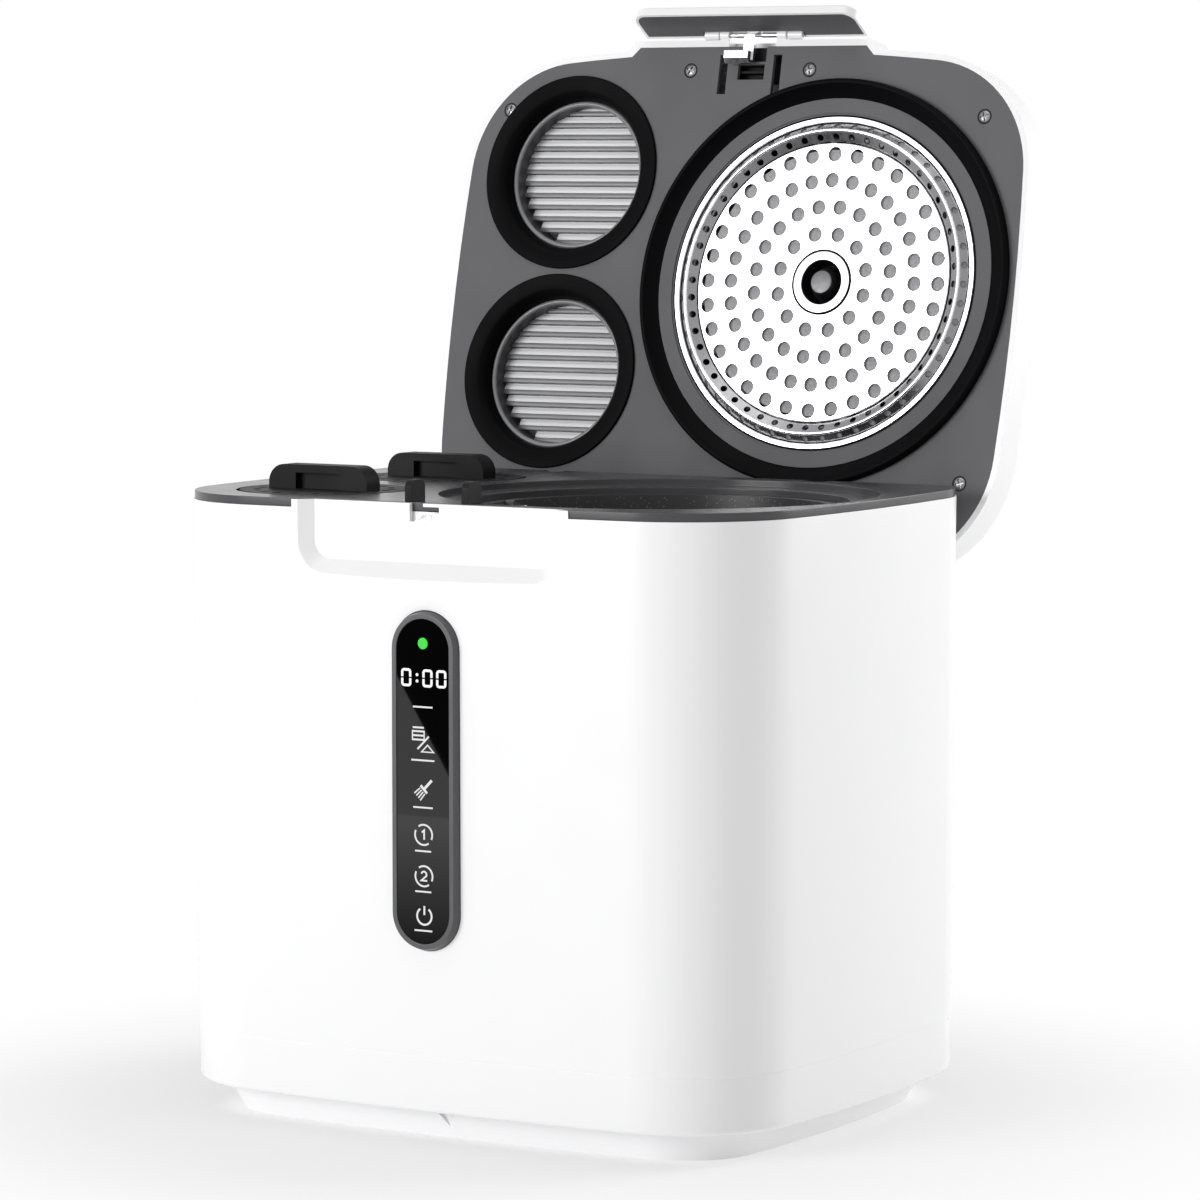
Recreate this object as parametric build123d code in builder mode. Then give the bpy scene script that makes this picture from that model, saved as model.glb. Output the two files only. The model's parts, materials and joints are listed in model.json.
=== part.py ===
from build123d import *
import os
from math import atan, cos, degrees, radians, sin, sqrt, tan

# Countertop electric food waste composter: a round-cornered casing with a top deck,
# a lift-out bucket over a geared stirring drive, two lift-out carbon filters, an
# exhaust fan, and a rear-hinged lid that stands open past upright.
# Millimetres. +X is to the right, +Y to the rear, +Z up. The origin is at the centre
# of the casing's plan, on the flat underside of the plinth.

os.makedirs("parts", exist_ok=True)

# --- casing ---------------------------------------------------------------------
body_width = 340.0
body_depth = 275.3
body_corner = 62.3  # plan radius of the four corners at the top edge
front_bow = 1880.0  # radius of the slightly bowed front and rear
side_bow = 870.0  # radius of the slightly bowed sides
draft = 1.1 / 300  # each side narrows towards the bottom
shell_top = 303.4
seam_z = 43.0
skirt_bottom = 15.4
skirt_inset = 0.7
wall = 2.5
fit = 0.3  # clearance between fixed pieces that slip together
plinth_inset = 14.0
plinth_slope = 8.0  # how far the plinth's side leans in over its height
plinth_floor = 3.0
plinth_pocket_wall = 11.0
notch_width = 13.0
notch_height = 9.0
foot_radius = 9.0
foot_thickness = 2.0
foot_side = 60.0  # from the casing's sides to the pads' centres
foot_end = 57.65  # from the casing's front and rear to the pads' centres
foot_x = body_width / 2 - foot_side
foot_y = body_depth / 2 - foot_end
overcut = 60.0  # openings are cut this far past the walls that they open

# --- deck -----------------------------------------------------------------------
rim_height = 4.1
rim_inset = 0.6
skirt_drop = 6.0  # locating skirt of the deck inside the casing
skirt_thickness = 2.2
deck_top = shell_top + rim_height

# --- lid hinge and open lid ---------------------------------------------------------
hinge_inset = 30.15  # from the casing's rear to the hinge axis
hinge_y = body_depth / 2 - hinge_inset
hinge_z = 290.6
hinge_x = 78.0
lid_lean = 12.14  # the open lid leans this far past upright, in degrees
barrel_radius = deck_top - hinge_z  # the deck's rear edge is round about the hinge
liner_gap = 1.6  # closed, the liner is this far above the deck
liner_offset = barrel_radius + liner_gap  # from the hinge axis to the liner's face
relief_floor = 246.0  # the casing's rear is cut away down to here for the open lid
pin_radius = 2.5
bore_gap = 0.05
hinge_boss = 7.0
arm_width = 12.0
arm_gap = 0.6
cheek_thickness = 3.0

# --- lid ------------------------------------------------------------------------
border = 3.0  # white edge of the lid's shell around the liner
lid_inset = 0.5  # the closed lid's sides stand this far inside the casing's
lid_short = 2.2  # the liner is this much shallower than the casing
liner_width = body_width - 2 * (border + lid_inset)
liner_depth = body_depth - lid_short
liner_corner = 61.0
liner_front_bow = 1106.0
liner_side_bow = 1302.0
liner_thickness = 2.5
lid_thickness = 28.0
lid_edge_round = 10.0
lid_skin = 2.8
hinge_v = 29.05  # the hinge axis's height up the liner from its rear edge

# --- bucket, filters and their ports ------------------------------------------------
bucket_side = 113.7  # from the casing's right side to the bucket's axis
bucket_x = body_width / 2 - bucket_side
bucket_y = -14.8
filter_side = 68.0  # from the casing's left side to the filters' axes
filter_x = filter_side - body_width / 2
filter_ys = (-72.0, 35.0)
filter_names = ("front", "rear")

seal_outer = 106.5
seal_inner = 96.5
seal_height = 4.6
seal_gap = 0.3
ledge_z = hinge_z + liner_offset - seal_height - seal_gap
ledge_radius = seal_outer + 1.1
deck_bucket_hole = 93.0
well_radius = 91.0
well_wall = 1.5
well_floor = 126.5
well_flange = 98.0
bucket_rim_radius = 90.5
bucket_top_radius = 86.0
bucket_base_radius = 80.0
bucket_wall = 1.2
bucket_top = 301.0
bucket_base = well_floor + well_wall + fit
rim_thickness = 2.5

filter_hole = 43.5
filter_well_radius = 43.8
filter_well_wall = 1.8
filter_well_floor = 168.0
filter_radius = 41.0
filter_wall = 1.5
cap_radius = 41.8
cap_thickness = 6.5
handle_length = 58.0
handle_height = 12.0
handle_thickness = 12.0
handle_round = 9.0
grip_width = 26.0
grip_height = 8.0
grip_depth = 4.0

# --- latch flap and its recess --------------------------------------------------------
recess_width = 152.0
recess_height = 32.5
recess_depth = 7.0
recess_bevel = 8.0
recess_lip = 3.8  # the recess's back wall stands this far above the casing's top edge
flap_half = 66.0
flap_length = 21.2
flap_root = 2.0
flap_thickness = 5.4
flap_tilt = 22.0  # the flap leans this far from square to the liner
flap_axis_ahead = 8.9  # the flap's axis is this far beyond the liner's front edge
flap_axis_v = liner_depth + flap_axis_ahead
flap_axis_w = -1.5
flap_corner = 8.0
flap_pin = 1.25
fin_x = 16.0
fin_thickness = 4.0
fin_height = 10.6
fin_set_back = 9.45  # from the casing's front to the fins
fin_length = 12.3
fin_front = fin_set_back - body_depth / 2
fin_back = fin_front + fin_length

# --- control panel ----------------------------------------------------------------
panel_z = 175.5
panel_width = 37.0
panel_height = 163.0
panel_rise = 4.0
panel_taper = 17.0
ring_width = 2.55  # the bezel's front face around the glass
glass_thickness = 1.6
glass_set_back = 0.5
led_inset = 15.4  # from the panel's top end down to the light
led_z = panel_z + panel_height / 2 - led_inset
led_radius = 2.7

# --- stirring drive ------------------------------------------------------------------
gear_module = 1.5
output_teeth = 60
idler_teeth = 48
pinion_teeth = 12
gear_spread = 0.25  # added to each pair's centre distance
gearbox_bottom = 72.0
gearbox_top = 110.0
gearbox_wall = 3.0
shaft_radius = 5.0
motor_radius = 22.5
motor_length = 58.0
heater_radius = 84.0
heater_top = well_floor - fit
heater_thickness = 6.0

# --- fan, duct, boards and inlet --------------------------------------------------------
fan_side = 90.0  # from the casing's left side to the fan's axis
fan_x = fan_side - body_width / 2
fan_z = 100.0
fan_size = 80.0
fan_depth = 25.0
fan_set_in = 11.85  # from the casing's rear to the fan's rear face
fan_rear = body_depth / 2 - fan_set_in
fan_bore = 37.5
duct_top = filter_well_floor
duct_floor = 142.0
duct_wall = 2.0
inlet_side = 65.0  # from the casing's right side to the inlet's axis
inlet_x = body_width / 2 - inlet_side
inlet_z = 70.0
inlet_set_in = 5.05  # from the casing's rear to the inlet's face
inlet_width = 27.4
inlet_height = 20.4

lean = radians(lid_lean)
draft_angle = degrees(atan(draft))


def write_piece(piece, name):
    piece.part.label = name
    export_step(piece.part, f"parts/{name}.step")


def bowed_outline(width, depth, corner, end_bow, flank_bow):
    # A rounded rectangle whose four sides are bowed outwards as large arcs.
    x = width / 2
    y = depth / 2
    for _ in range(8):
        x = width / 2 - (flank_bow - sqrt(flank_bow**2 - y**2))
        y = depth / 2 - (end_bow - sqrt(end_bow**2 - x**2))
    with BuildSketch(Plane.XY, mode=Mode.PRIVATE) as outline:
        with BuildLine():
            ThreePointArc((-x, -y), (0, -depth / 2), (x, -y))
            ThreePointArc((x, -y), (width / 2, 0), (x, y))
            ThreePointArc((x, y), (0, depth / 2), (-x, y))
            ThreePointArc((-x, y), (-width / 2, 0), (-x, -y))
        make_face()
        fillet(outline.vertices(), corner)
    return outline.sketch


def body_outline(z, inset=0.0):
    # The casing's plan at a height, moved inwards by inset.
    step = draft * (shell_top - z) + inset
    return bowed_outline(
        body_width - 2 * step,
        body_depth - 2 * step,
        body_corner - step,
        front_bow - step,
        side_bow - step,
    )


def lid_outline(inset):
    # The liner's plan, moved outwards by a negative inset.
    return bowed_outline(
        liner_width - 2 * inset,
        liner_depth - 2 * inset,
        liner_corner - inset,
        liner_front_bow - inset,
        liner_side_bow - inset,
    )


def body_block(low, high, inset=0.0):
    # A solid of the casing's plan between two heights.
    with BuildPart(mode=Mode.PRIVATE) as block:
        with BuildSketch(Plane.XY.offset(low)):
            add(body_outline(low, inset))
        extrude(amount=high - low, taper=-draft_angle)
    return block.part


def lid_yz(v, w):
    # A point of the lid's own frame, v up the liner and w out of it, as global y and z.
    y = hinge_y + (v - hinge_v) * sin(lean) - (w - liner_offset) * cos(lean)
    z = hinge_z + (v - hinge_v) * cos(lean) + (w - liner_offset) * sin(lean)
    return y, z


lid_origin = lid_yz(0, 0)
lid_plane = Plane(
    origin=(0, lid_origin[0], lid_origin[1]),
    x_dir=(1, 0, 0),
    z_dir=(0, -cos(lean), sin(lean)),
)
lid_out = Axis((0, 0, 0), (0, -cos(lean), sin(lean)))
lid_mid_v = liner_depth / 2
# A closed lid's liner lies over the deck, so a place on the deck gives a place on it.
closed_shift = hinge_y + hinge_v
bucket_v = closed_shift - bucket_y
filter_vs = [closed_shift - y for y in filter_ys]


def rear_relief(grow):
    # The space that the open lid's rear swings into: behind a barrel about the hinge
    # and a wall parallel to the open liner, down to a ledge.
    reach = barrel_radius - grow
    middle = radians((90 - lid_lean) / 2)
    low_y = hinge_y + reach * cos(lean)
    low_z = hinge_z - reach * sin(lean)
    floor_z = relief_floor - grow
    foot_of_wall = low_y - (low_z - floor_z) * tan(lean)
    top_z = deck_top + overcut
    back_y = body_depth
    with BuildPart(mode=Mode.PRIVATE) as relief:
        with BuildSketch(Plane.YZ):
            with BuildLine():
                Line((hinge_y, top_z), (hinge_y, hinge_z + reach))
                ThreePointArc(
                    (hinge_y, hinge_z + reach),
                    (hinge_y + reach * cos(middle), hinge_z + reach * sin(middle)),
                    (low_y, low_z),
                )
                Polyline(
                    (low_y, low_z),
                    (foot_of_wall, floor_z),
                    (back_y, floor_z - 2),
                    (back_y, top_z),
                    (hinge_y, top_z),
                )
            make_face()
        extrude(amount=body_width, both=True)
    return relief.part


def latch_recess(grow):
    # The shallow bevelled pocket behind the latch flap, open at the top.
    overrun = 4.0
    slope = recess_bevel / recess_depth
    back = body_depth / 2 - recess_depth - grow
    front = body_depth / 2 + overrun
    inner_width = recess_width - 2 * recess_bevel + 2 * grow
    inner_low = shell_top - recess_height + recess_bevel - grow
    widen = (recess_depth + grow + overrun) * slope - grow
    with BuildPart(mode=Mode.PRIVATE) as pocket:
        with BuildSketch(Plane.XZ.offset(back)):
            with Locations((0, inner_low)):
                RectangleRounded(inner_width, 90, 9 + grow, align=(Align.CENTER, Align.MIN))
        with BuildSketch(Plane.XZ.offset(front)):
            with Locations((0, inner_low - widen)):
                RectangleRounded(
                    inner_width + 2 * widen, 90 + widen, 9 + widen, align=(Align.CENTER, Align.MIN)
                )
        loft()
    return pocket.part


def hinge_slots():
    # Openings in the deck's rear edge for the two lid arms.
    with BuildPart(mode=Mode.PRIVATE) as slots:
        front = hinge_y - hinge_boss - 1
        low = hinge_z - barrel_radius * sin(lean) - hinge_boss - 1
        with Locations((-hinge_x, front, low), (hinge_x, front, low)):
            Box(
                arm_width + 2 * arm_gap,
                overcut,
                overcut,
                align=(Align.CENTER, Align.MIN, Align.MIN),
            )
    return slots.part


# --- outer shell ----------------------------------------------------------------
lip_top = shell_top + recess_lip

with BuildPart() as shell_cavity:
    add(body_block(seam_z - 1, lip_top + 1, wall))
    add(rear_relief(wall), mode=Mode.SUBTRACT)
    add(latch_recess(wall), mode=Mode.SUBTRACT)

with BuildPart() as above_shell:
    with BuildSketch(Plane.XY.offset(shell_top)):
        Rectangle(body_width + 20, body_depth + 20)
    extrude(amount=recess_lip + 10)
    add(latch_recess(wall), mode=Mode.SUBTRACT)

vent_side = fan_size - 4
slot_low = 298.5
slot_high = 305.6
slot_left = -13.5
slot_right = 3.0
slot_step = -6.0

with BuildPart() as outer_shell:
    add(body_block(seam_z, lip_top))
    add(shell_cavity.part, mode=Mode.SUBTRACT)
    add(above_shell.part, mode=Mode.SUBTRACT)
    add(rear_relief(0), mode=Mode.SUBTRACT)
    add(latch_recess(0), mode=Mode.SUBTRACT)
    add(hinge_slots(), mode=Mode.SUBTRACT)
    # opening for the control panel
    with BuildSketch(Plane.XZ.offset(body_depth / 2 + 5)):
        with Locations((0, panel_z)):
            SlotOverall(panel_height + fit, panel_width + fit, rotation=90)
    extrude(amount=-20, mode=Mode.SUBTRACT)
    # rear openings for the exhaust and the power inlet
    with BuildSketch(Plane.XZ.offset(-body_depth / 2 - 5)):
        with Locations((fan_x, fan_z)):
            RectangleRounded(vent_side, vent_side, 6)
        with Locations((inlet_x, inlet_z)):
            Rectangle(inlet_width + 2 * fit, inlet_height + 2 * fit)
    extrude(amount=20, mode=Mode.SUBTRACT)
    # stepped slot for the latch hook in the recess's back wall
    with BuildSketch(Plane.XZ.offset(body_depth / 2 + 5)):
        with Locations(((slot_left + slot_right) / 2, (slot_low + slot_high) / 2)):
            Rectangle(slot_right - slot_left, slot_high - slot_low)
        with Locations(((slot_left + slot_step) / 2, slot_high)):
            Rectangle(slot_step - slot_left, 8)
    extrude(amount=-5 - recess_depth - wall - 1, mode=Mode.SUBTRACT)
write_piece(outer_shell, "outer_shell")

# --- base tray with its plinth -----------------------------------------------------
gearbox_reach_left = 96.0  # how far the gearbox reaches from the bucket's axis
gearbox_reach_right = 52.0
gearbox_reach_back = 60.0
gearbox_left = bucket_x - gearbox_reach_left
gearbox_right = bucket_x + gearbox_reach_right
gearbox_front = bucket_y - gearbox_reach_right
gearbox_back = bucket_y + gearbox_reach_back
gearbox_x = (gearbox_left + gearbox_right) / 2
gearbox_y = (gearbox_front + gearbox_back) / 2
post_inset = 8.0
post_points = [
    (gearbox_left + post_inset, gearbox_front + post_inset),
    (gearbox_right - post_inset, gearbox_front + post_inset),
    (gearbox_left + post_inset, gearbox_back - post_inset),
    (gearbox_right - post_inset, gearbox_back - post_inset),
]
post_radius = 6.0
board_z = 22.0
board_side = 67.0  # from the casing's left side to the board's centre
board_x = board_side - body_width / 2
board_y = -30.0
board_width = 74.0
board_length = 130.0
board_thickness = 1.6
standoff_radius = 3.5
standoff_inset = 5.0
standoffs = [
    (board_x + i * (board_width / 2 - standoff_inset), board_y + j * (board_length / 2 - standoff_inset))
    for i in (-1, 1)
    for j in (-1, 1)
]
motor_x = bucket_x - (output_teeth + pinion_teeth) / 2 * gear_module - gear_spread
motor_y = bucket_y + (idler_teeth + pinion_teeth) / 2 * gear_module + gear_spread
motor_bottom = gearbox_bottom - motor_length
cradle_thickness = 3.0
cradle_height = 12.0

case_screw_side = 86.0  # from the casing's sides to the case screws
case_screw_end = 85.65  # from the casing's front and rear to the case screws
case_screw_x = body_width / 2 - case_screw_side
case_screw_y = body_depth / 2 - case_screw_end
case_screw_points = [(i * case_screw_x, j * case_screw_y) for i in (-1, 1) for j in (-1, 1)]
screw_head = 4.0
screw_depth = 2.2
skirt_edge_round = 2.5

with BuildPart() as base_tray:
    with BuildSketch(Plane.XY.offset(seam_z)):
        add(body_outline(seam_z, skirt_inset))
    extrude(amount=skirt_bottom - seam_z, taper=draft_angle)
    fillet(base_tray.faces().sort_by(Axis.Z)[0].edges(), skirt_edge_round)
    with BuildSketch(Plane.XY):
        add(body_outline(skirt_bottom, plinth_inset + plinth_slope))
    with BuildSketch(Plane.XY.offset(skirt_bottom)):
        add(body_outline(skirt_bottom, plinth_inset))
    loft()
    # hollow inside: the skirt's pocket and the deeper plinth pocket
    with BuildSketch(Plane.XY.offset(seam_z)):
        add(body_outline(seam_z, skirt_inset + wall))
    extrude(amount=skirt_bottom + plinth_floor - seam_z, mode=Mode.SUBTRACT)
    with BuildSketch(Plane.XY.offset(seam_z)):
        add(body_outline(seam_z, plinth_inset + plinth_pocket_wall))
    extrude(amount=plinth_floor - seam_z, mode=Mode.SUBTRACT)
    # V notch in the plinth's front
    with BuildSketch(Plane.XZ.offset(body_depth / 2 - plinth_inset - plinth_pocket_wall + 5)):
        with BuildLine():
            Polyline(
                (-notch_width / 2, skirt_bottom),
                (notch_width / 2, skirt_bottom),
                (0, skirt_bottom - notch_height),
                close=True,
            )
        make_face()
    extrude(amount=12, mode=Mode.SUBTRACT)
    # pockets for the pads under the plinth
    with BuildSketch(Plane.XY):
        with GridLocations(2 * foot_x, 2 * foot_y, 2, 2):
            Circle(foot_radius + fit)
    extrude(amount=foot_thickness, mode=Mode.SUBTRACT)
    with BuildSketch(Plane.XY):
        with Locations(*case_screw_points):
            Circle(screw_head + 0.1)
    extrude(amount=screw_depth, mode=Mode.SUBTRACT)
    # posts under the gearbox, a cradle for the motor and standoffs for the board
    with BuildSketch(Plane.XY.offset(plinth_floor)):
        with Locations(*post_points):
            Circle(post_radius)
    extrude(amount=gearbox_bottom - plinth_floor)
    with BuildSketch(Plane.XY.offset(plinth_floor)):
        with Locations(*standoffs):
            Circle(standoff_radius)
    extrude(amount=board_z - plinth_floor)
    with BuildSketch(Plane.XY.offset(plinth_floor)):
        with Locations((motor_x, motor_y)):
            Circle(motor_radius + fit + cradle_thickness)
    extrude(amount=motor_bottom + cradle_height - plinth_floor)
    with BuildSketch(Plane.XY.offset(motor_bottom - fit)):
        with Locations((motor_x, motor_y)):
            Circle(motor_radius + fit)
    extrude(amount=cradle_height + 1, mode=Mode.SUBTRACT)
write_piece(base_tray, "base_tray")

with BuildPart() as anti_slip_feet:
    with BuildSketch(Plane.XY):
        with GridLocations(2 * foot_x, 2 * foot_y, 2, 2):
            Circle(foot_radius)
    extrude(amount=foot_thickness)
write_piece(anti_slip_feet, "anti_slip_feet")

# --- deck -------------------------------------------------------------------------
with BuildPart() as deck_skirt:
    add(body_block(shell_top - skirt_drop, shell_top, wall + fit))
    add(
        body_block(shell_top - skirt_drop - 1, shell_top + 1, wall + fit + skirt_thickness),
        mode=Mode.SUBTRACT,
    )
    add(rear_relief(wall + fit), mode=Mode.SUBTRACT)
    add(latch_recess(wall + fit), mode=Mode.SUBTRACT)
    with Locations((0, body_depth / 2, shell_top)):
        Box(body_width, 2 * (body_depth / 2 - hinge_y + 16), 60, mode=Mode.SUBTRACT)

ring_below = 3.4  # the deck is thickened by this much under the ledge
ring_wall = 2.6
with BuildPart() as deck_frame:
    with BuildSketch(Plane.XY.offset(shell_top)):
        add(body_outline(shell_top, rim_inset))
    extrude(amount=rim_height)
    add(deck_skirt.part)
    with BuildSketch(Plane.XY.offset(shell_top - ring_below)):
        with Locations((bucket_x, bucket_y)):
            Circle(ledge_radius + ring_wall)
    extrude(amount=ring_below)
    with BuildSketch(Plane.XY.offset(deck_top)):
        with Locations((bucket_x, bucket_y)):
            Circle(ledge_radius)
    extrude(amount=ledge_z - deck_top, mode=Mode.SUBTRACT)
    with BuildSketch(Plane.XY.offset(deck_top)):
        with Locations((bucket_x, bucket_y)):
            Circle(deck_bucket_hole)
        with Locations(*[(filter_x, y) for y in filter_ys]):
            Circle(filter_hole)
    extrude(amount=-30, mode=Mode.SUBTRACT)
    add(rear_relief(0), mode=Mode.SUBTRACT)
    add(latch_recess(wall + fit), mode=Mode.SUBTRACT)
    add(hinge_slots(), mode=Mode.SUBTRACT)
write_piece(deck_frame, "deck_frame")

fin_middle = (fin_front + fin_back) / 2
with BuildPart() as lid_guide_fins:
    with Locations((-fin_x, fin_middle, deck_top), (fin_x, fin_middle, deck_top)):
        Box(
            fin_thickness,
            fin_back - fin_front,
            fin_height,
            align=(Align.CENTER, Align.CENTER, Align.MIN),
        )
    fin_tops = lid_guide_fins.faces().filter_by(Axis.Z).group_by(Axis.Z)[-1]
    fillet(fin_tops.edges().filter_by(Axis.X), 4.0)
write_piece(lid_guide_fins, "lid_guide_fins")

strike_thickness = 1.5
strike_side = 5.0  # the plate's margins round the hook's slot
strike_below = 6.0
strike_y = -body_depth / 2 + recess_depth + wall
with BuildPart() as latch_strike:
    with BuildSketch(Plane.XZ.offset(-strike_y)):
        with BuildLine():
            Polyline(
                (slot_left - strike_side, shell_top - fit),
                (slot_left - strike_side, slot_low - strike_below),
                (slot_right + strike_side, slot_low - strike_below),
                (slot_right + strike_side, shell_top - fit),
                close=True,
            )
        make_face()
    extrude(amount=-strike_thickness)
write_piece(latch_strike, "latch_strike")

# --- control panel ------------------------------------------------------------------
flange_thickness = 2.0
flange_clear = 1.2  # the bezel's flange stands off the casing's bowed and drafted wall
panel_sunk = 0.65
panel_back = body_depth / 2 - wall - flange_thickness - flange_clear
panel_root = body_depth / 2 - panel_sunk
panel_front = panel_root + panel_rise
front_shrink = 2 * panel_rise * tan(radians(panel_taper))
glass_width = panel_width - front_shrink - 2 * ring_width
glass_height = panel_height - front_shrink - 2 * ring_width
glass_front = panel_front - glass_set_back
flange = 3.0
shelf = 2.0
glass_gap = 0.1

with BuildPart() as panel_bezel:
    with BuildSketch(Plane.XZ.offset(panel_back)):
        with Locations((0, panel_z)):
            SlotOverall(panel_height + 2 * flange, panel_width + 2 * flange, rotation=90)
    extrude(amount=flange_thickness)
    with BuildSketch(Plane.XZ.offset(panel_back)):
        with Locations((0, panel_z)):
            SlotOverall(panel_height, panel_width, rotation=90)
    extrude(amount=panel_root - panel_back)
    with BuildSketch(Plane.XZ.offset(panel_root)):
        with Locations((0, panel_z)):
            SlotOverall(panel_height, panel_width, rotation=90)
    extrude(amount=panel_rise, taper=panel_taper)
    with BuildSketch(Plane.XZ.offset(panel_front)):
        with Locations((0, panel_z)):
            SlotOverall(glass_height + 2 * glass_gap, glass_width + 2 * glass_gap, rotation=90)
    extrude(amount=-glass_set_back - glass_thickness, mode=Mode.SUBTRACT)
    with BuildSketch(Plane.XZ.offset(panel_front)):
        with Locations((0, panel_z)):
            SlotOverall(glass_height - 2 * shelf, glass_width - 2 * shelf, rotation=90)
    extrude(amount=-20, mode=Mode.SUBTRACT)
write_piece(panel_bezel, "panel_bezel")

with BuildPart() as panel_glass:
    with BuildSketch(Plane.XZ.offset(glass_front)):
        with Locations((0, panel_z)):
            SlotOverall(glass_height, glass_width, rotation=90)
        with Locations((0, led_z)):
            Circle(led_radius + glass_gap, mode=Mode.SUBTRACT)
    extrude(amount=-glass_thickness)
write_piece(panel_glass, "panel_glass")

display_gap = 4.0
with BuildPart() as status_led:
    with BuildSketch(Plane.XZ.offset(glass_front)):
        with Locations((0, led_z)):
            Circle(led_radius)
    extrude(amount=-glass_thickness - display_gap)
write_piece(status_led, "status_led")

with BuildPart() as display_board:
    with BuildSketch(Plane.XZ.offset(glass_front - glass_thickness - display_gap)):
        with Locations((0, panel_z)):
            SlotOverall(
                glass_height - 2 * shelf - fit, glass_width - 2 * shelf - fit, rotation=90
            )
    extrude(amount=-board_thickness)
    # touch chips and connector on its back
    back_face = Plane.XZ.offset(glass_front - glass_thickness - display_gap - board_thickness)
    with BuildSketch(back_face):
        with Locations((0, panel_z - 45), (0, panel_z + 20)):
            Rectangle(12, 12)
        with Locations((0, panel_z - 15)):
            Rectangle(14, 6)
    extrude(amount=-1.8)
write_piece(display_board, "display_board")

# --- bucket well and heater ---------------------------------------------------------
well_top = shell_top - ring_below
well_flange_thickness = 1.6
shaft_hole = 9.0

with BuildPart() as bucket_well:
    with BuildSketch(Plane.XY.offset(well_floor)):
        with Locations((bucket_x, bucket_y)):
            Circle(well_radius + well_wall)
    extrude(amount=well_top - well_floor)
    with BuildSketch(Plane.XY.offset(well_top)):
        with Locations((bucket_x, bucket_y)):
            Circle(well_flange)
    extrude(amount=-well_flange_thickness)
    with BuildSketch(Plane.XY.offset(well_floor + well_wall)):
        with Locations((bucket_x, bucket_y)):
            Circle(well_radius)
    extrude(amount=well_top - well_floor, mode=Mode.SUBTRACT)
    with BuildSketch(Plane.XY.offset(well_floor)):
        with Locations((bucket_x, bucket_y)):
            Circle(shaft_hole)
    extrude(amount=well_wall * 2, both=True, mode=Mode.SUBTRACT)
write_piece(bucket_well, "bucket_well")

heater_bore = 12.0
element_ring = 58.0  # mean radius of the tubular element
element_radius = 3.4
groove_half = 4.0
groove_depth = 3.0
with BuildPart() as heater_plate:
    with BuildSketch(Plane.XY.offset(heater_top)):
        with Locations((bucket_x, bucket_y)):
            Circle(heater_radius)
            Circle(heater_bore, mode=Mode.SUBTRACT)
    extrude(amount=-heater_thickness)
    # groove underneath for the tubular element
    with BuildSketch(Plane.XY.offset(heater_top - heater_thickness)):
        with Locations((bucket_x, bucket_y)):
            Circle(element_ring + groove_half)
            Circle(element_ring - groove_half, mode=Mode.SUBTRACT)
    extrude(amount=groove_depth, mode=Mode.SUBTRACT)
write_piece(heater_plate, "heater_plate")

element_z = heater_top - heater_thickness + groove_depth - element_radius - 0.1
with BuildPart() as heating_element:
    with BuildSketch(Plane.XZ.offset(-bucket_y)):
        with Locations((bucket_x + element_ring, element_z)):
            Circle(element_radius)
    revolve(axis=Axis((bucket_x, bucket_y, 0), (0, 0, 1)), revolution_arc=330)
write_piece(heating_element, "heating_element")

# --- stirring drive -------------------------------------------------------------------
idler_x = bucket_x - (output_teeth + pinion_teeth) / 2 * gear_module - gear_spread
gear_low = gearbox_bottom + gearbox_wall + 2
big_face = 8.0
small_face = 10.0
upper_low = gear_low + big_face + 2
axle_radius = 3.0
bearing_radius = shaft_radius + 4.5
motor_hole = 6.0
pillar_radius = 4.0
pillar_points = [
    (bucket_x + 30, bucket_y - 34), (bucket_x + 30, bucket_y + 34),
    (bucket_x - 72, bucket_y - 20), (bucket_x - 72, bucket_y + 20),
]


def gear_sketch(teeth, turn, bore):
    # Straight-flanked teeth with backlash, one flat-topped tooth per pitch.
    pitch_radius = teeth * gear_module / 2
    root = pitch_radius - 1.15 * gear_module
    tip = pitch_radius + 0.85 * gear_module
    pitch = 360 / teeth
    points = []
    for i in range(teeth):
        middle = turn + i * pitch
        for radius, share in ((root, -0.32), (tip, -0.11), (tip, 0.11), (root, 0.32)):
            angle = radians(middle + share * pitch)
            points.append((radius * cos(angle), radius * sin(angle)))
    with BuildSketch(Plane.XY, mode=Mode.PRIVATE) as outline:
        with BuildLine():
            Polyline(*points, close=True)
        make_face()
        Circle(bore, mode=Mode.SUBTRACT)
    return outline.sketch


with BuildPart() as gearbox_housing:
    with BuildSketch(Plane.XY.offset(gearbox_bottom)):
        with Locations((gearbox_x, gearbox_y)):
            RectangleRounded(gearbox_right - gearbox_left, gearbox_back - gearbox_front, 10)
    extrude(amount=gearbox_top - gearbox_wall - gearbox_bottom)
    with BuildSketch(Plane.XY.offset(gearbox_bottom + gearbox_wall)):
        with Locations((gearbox_x, gearbox_y)):
            RectangleRounded(
                gearbox_right - gearbox_left - 2 * gearbox_wall,
                gearbox_back - gearbox_front - 2 * gearbox_wall,
                7,
            )
    extrude(amount=gearbox_top, mode=Mode.SUBTRACT)
    with BuildSketch(Plane.XY.offset(gearbox_bottom)):
        with Locations((bucket_x, bucket_y)):
            Circle(bearing_radius)
        with Locations((idler_x, bucket_y)):
            Circle(axle_radius)
        with Locations((motor_x, motor_y)):
            Circle(motor_hole)
    extrude(amount=gearbox_wall, mode=Mode.SUBTRACT)
write_piece(gearbox_housing, "gearbox_housing")

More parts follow.
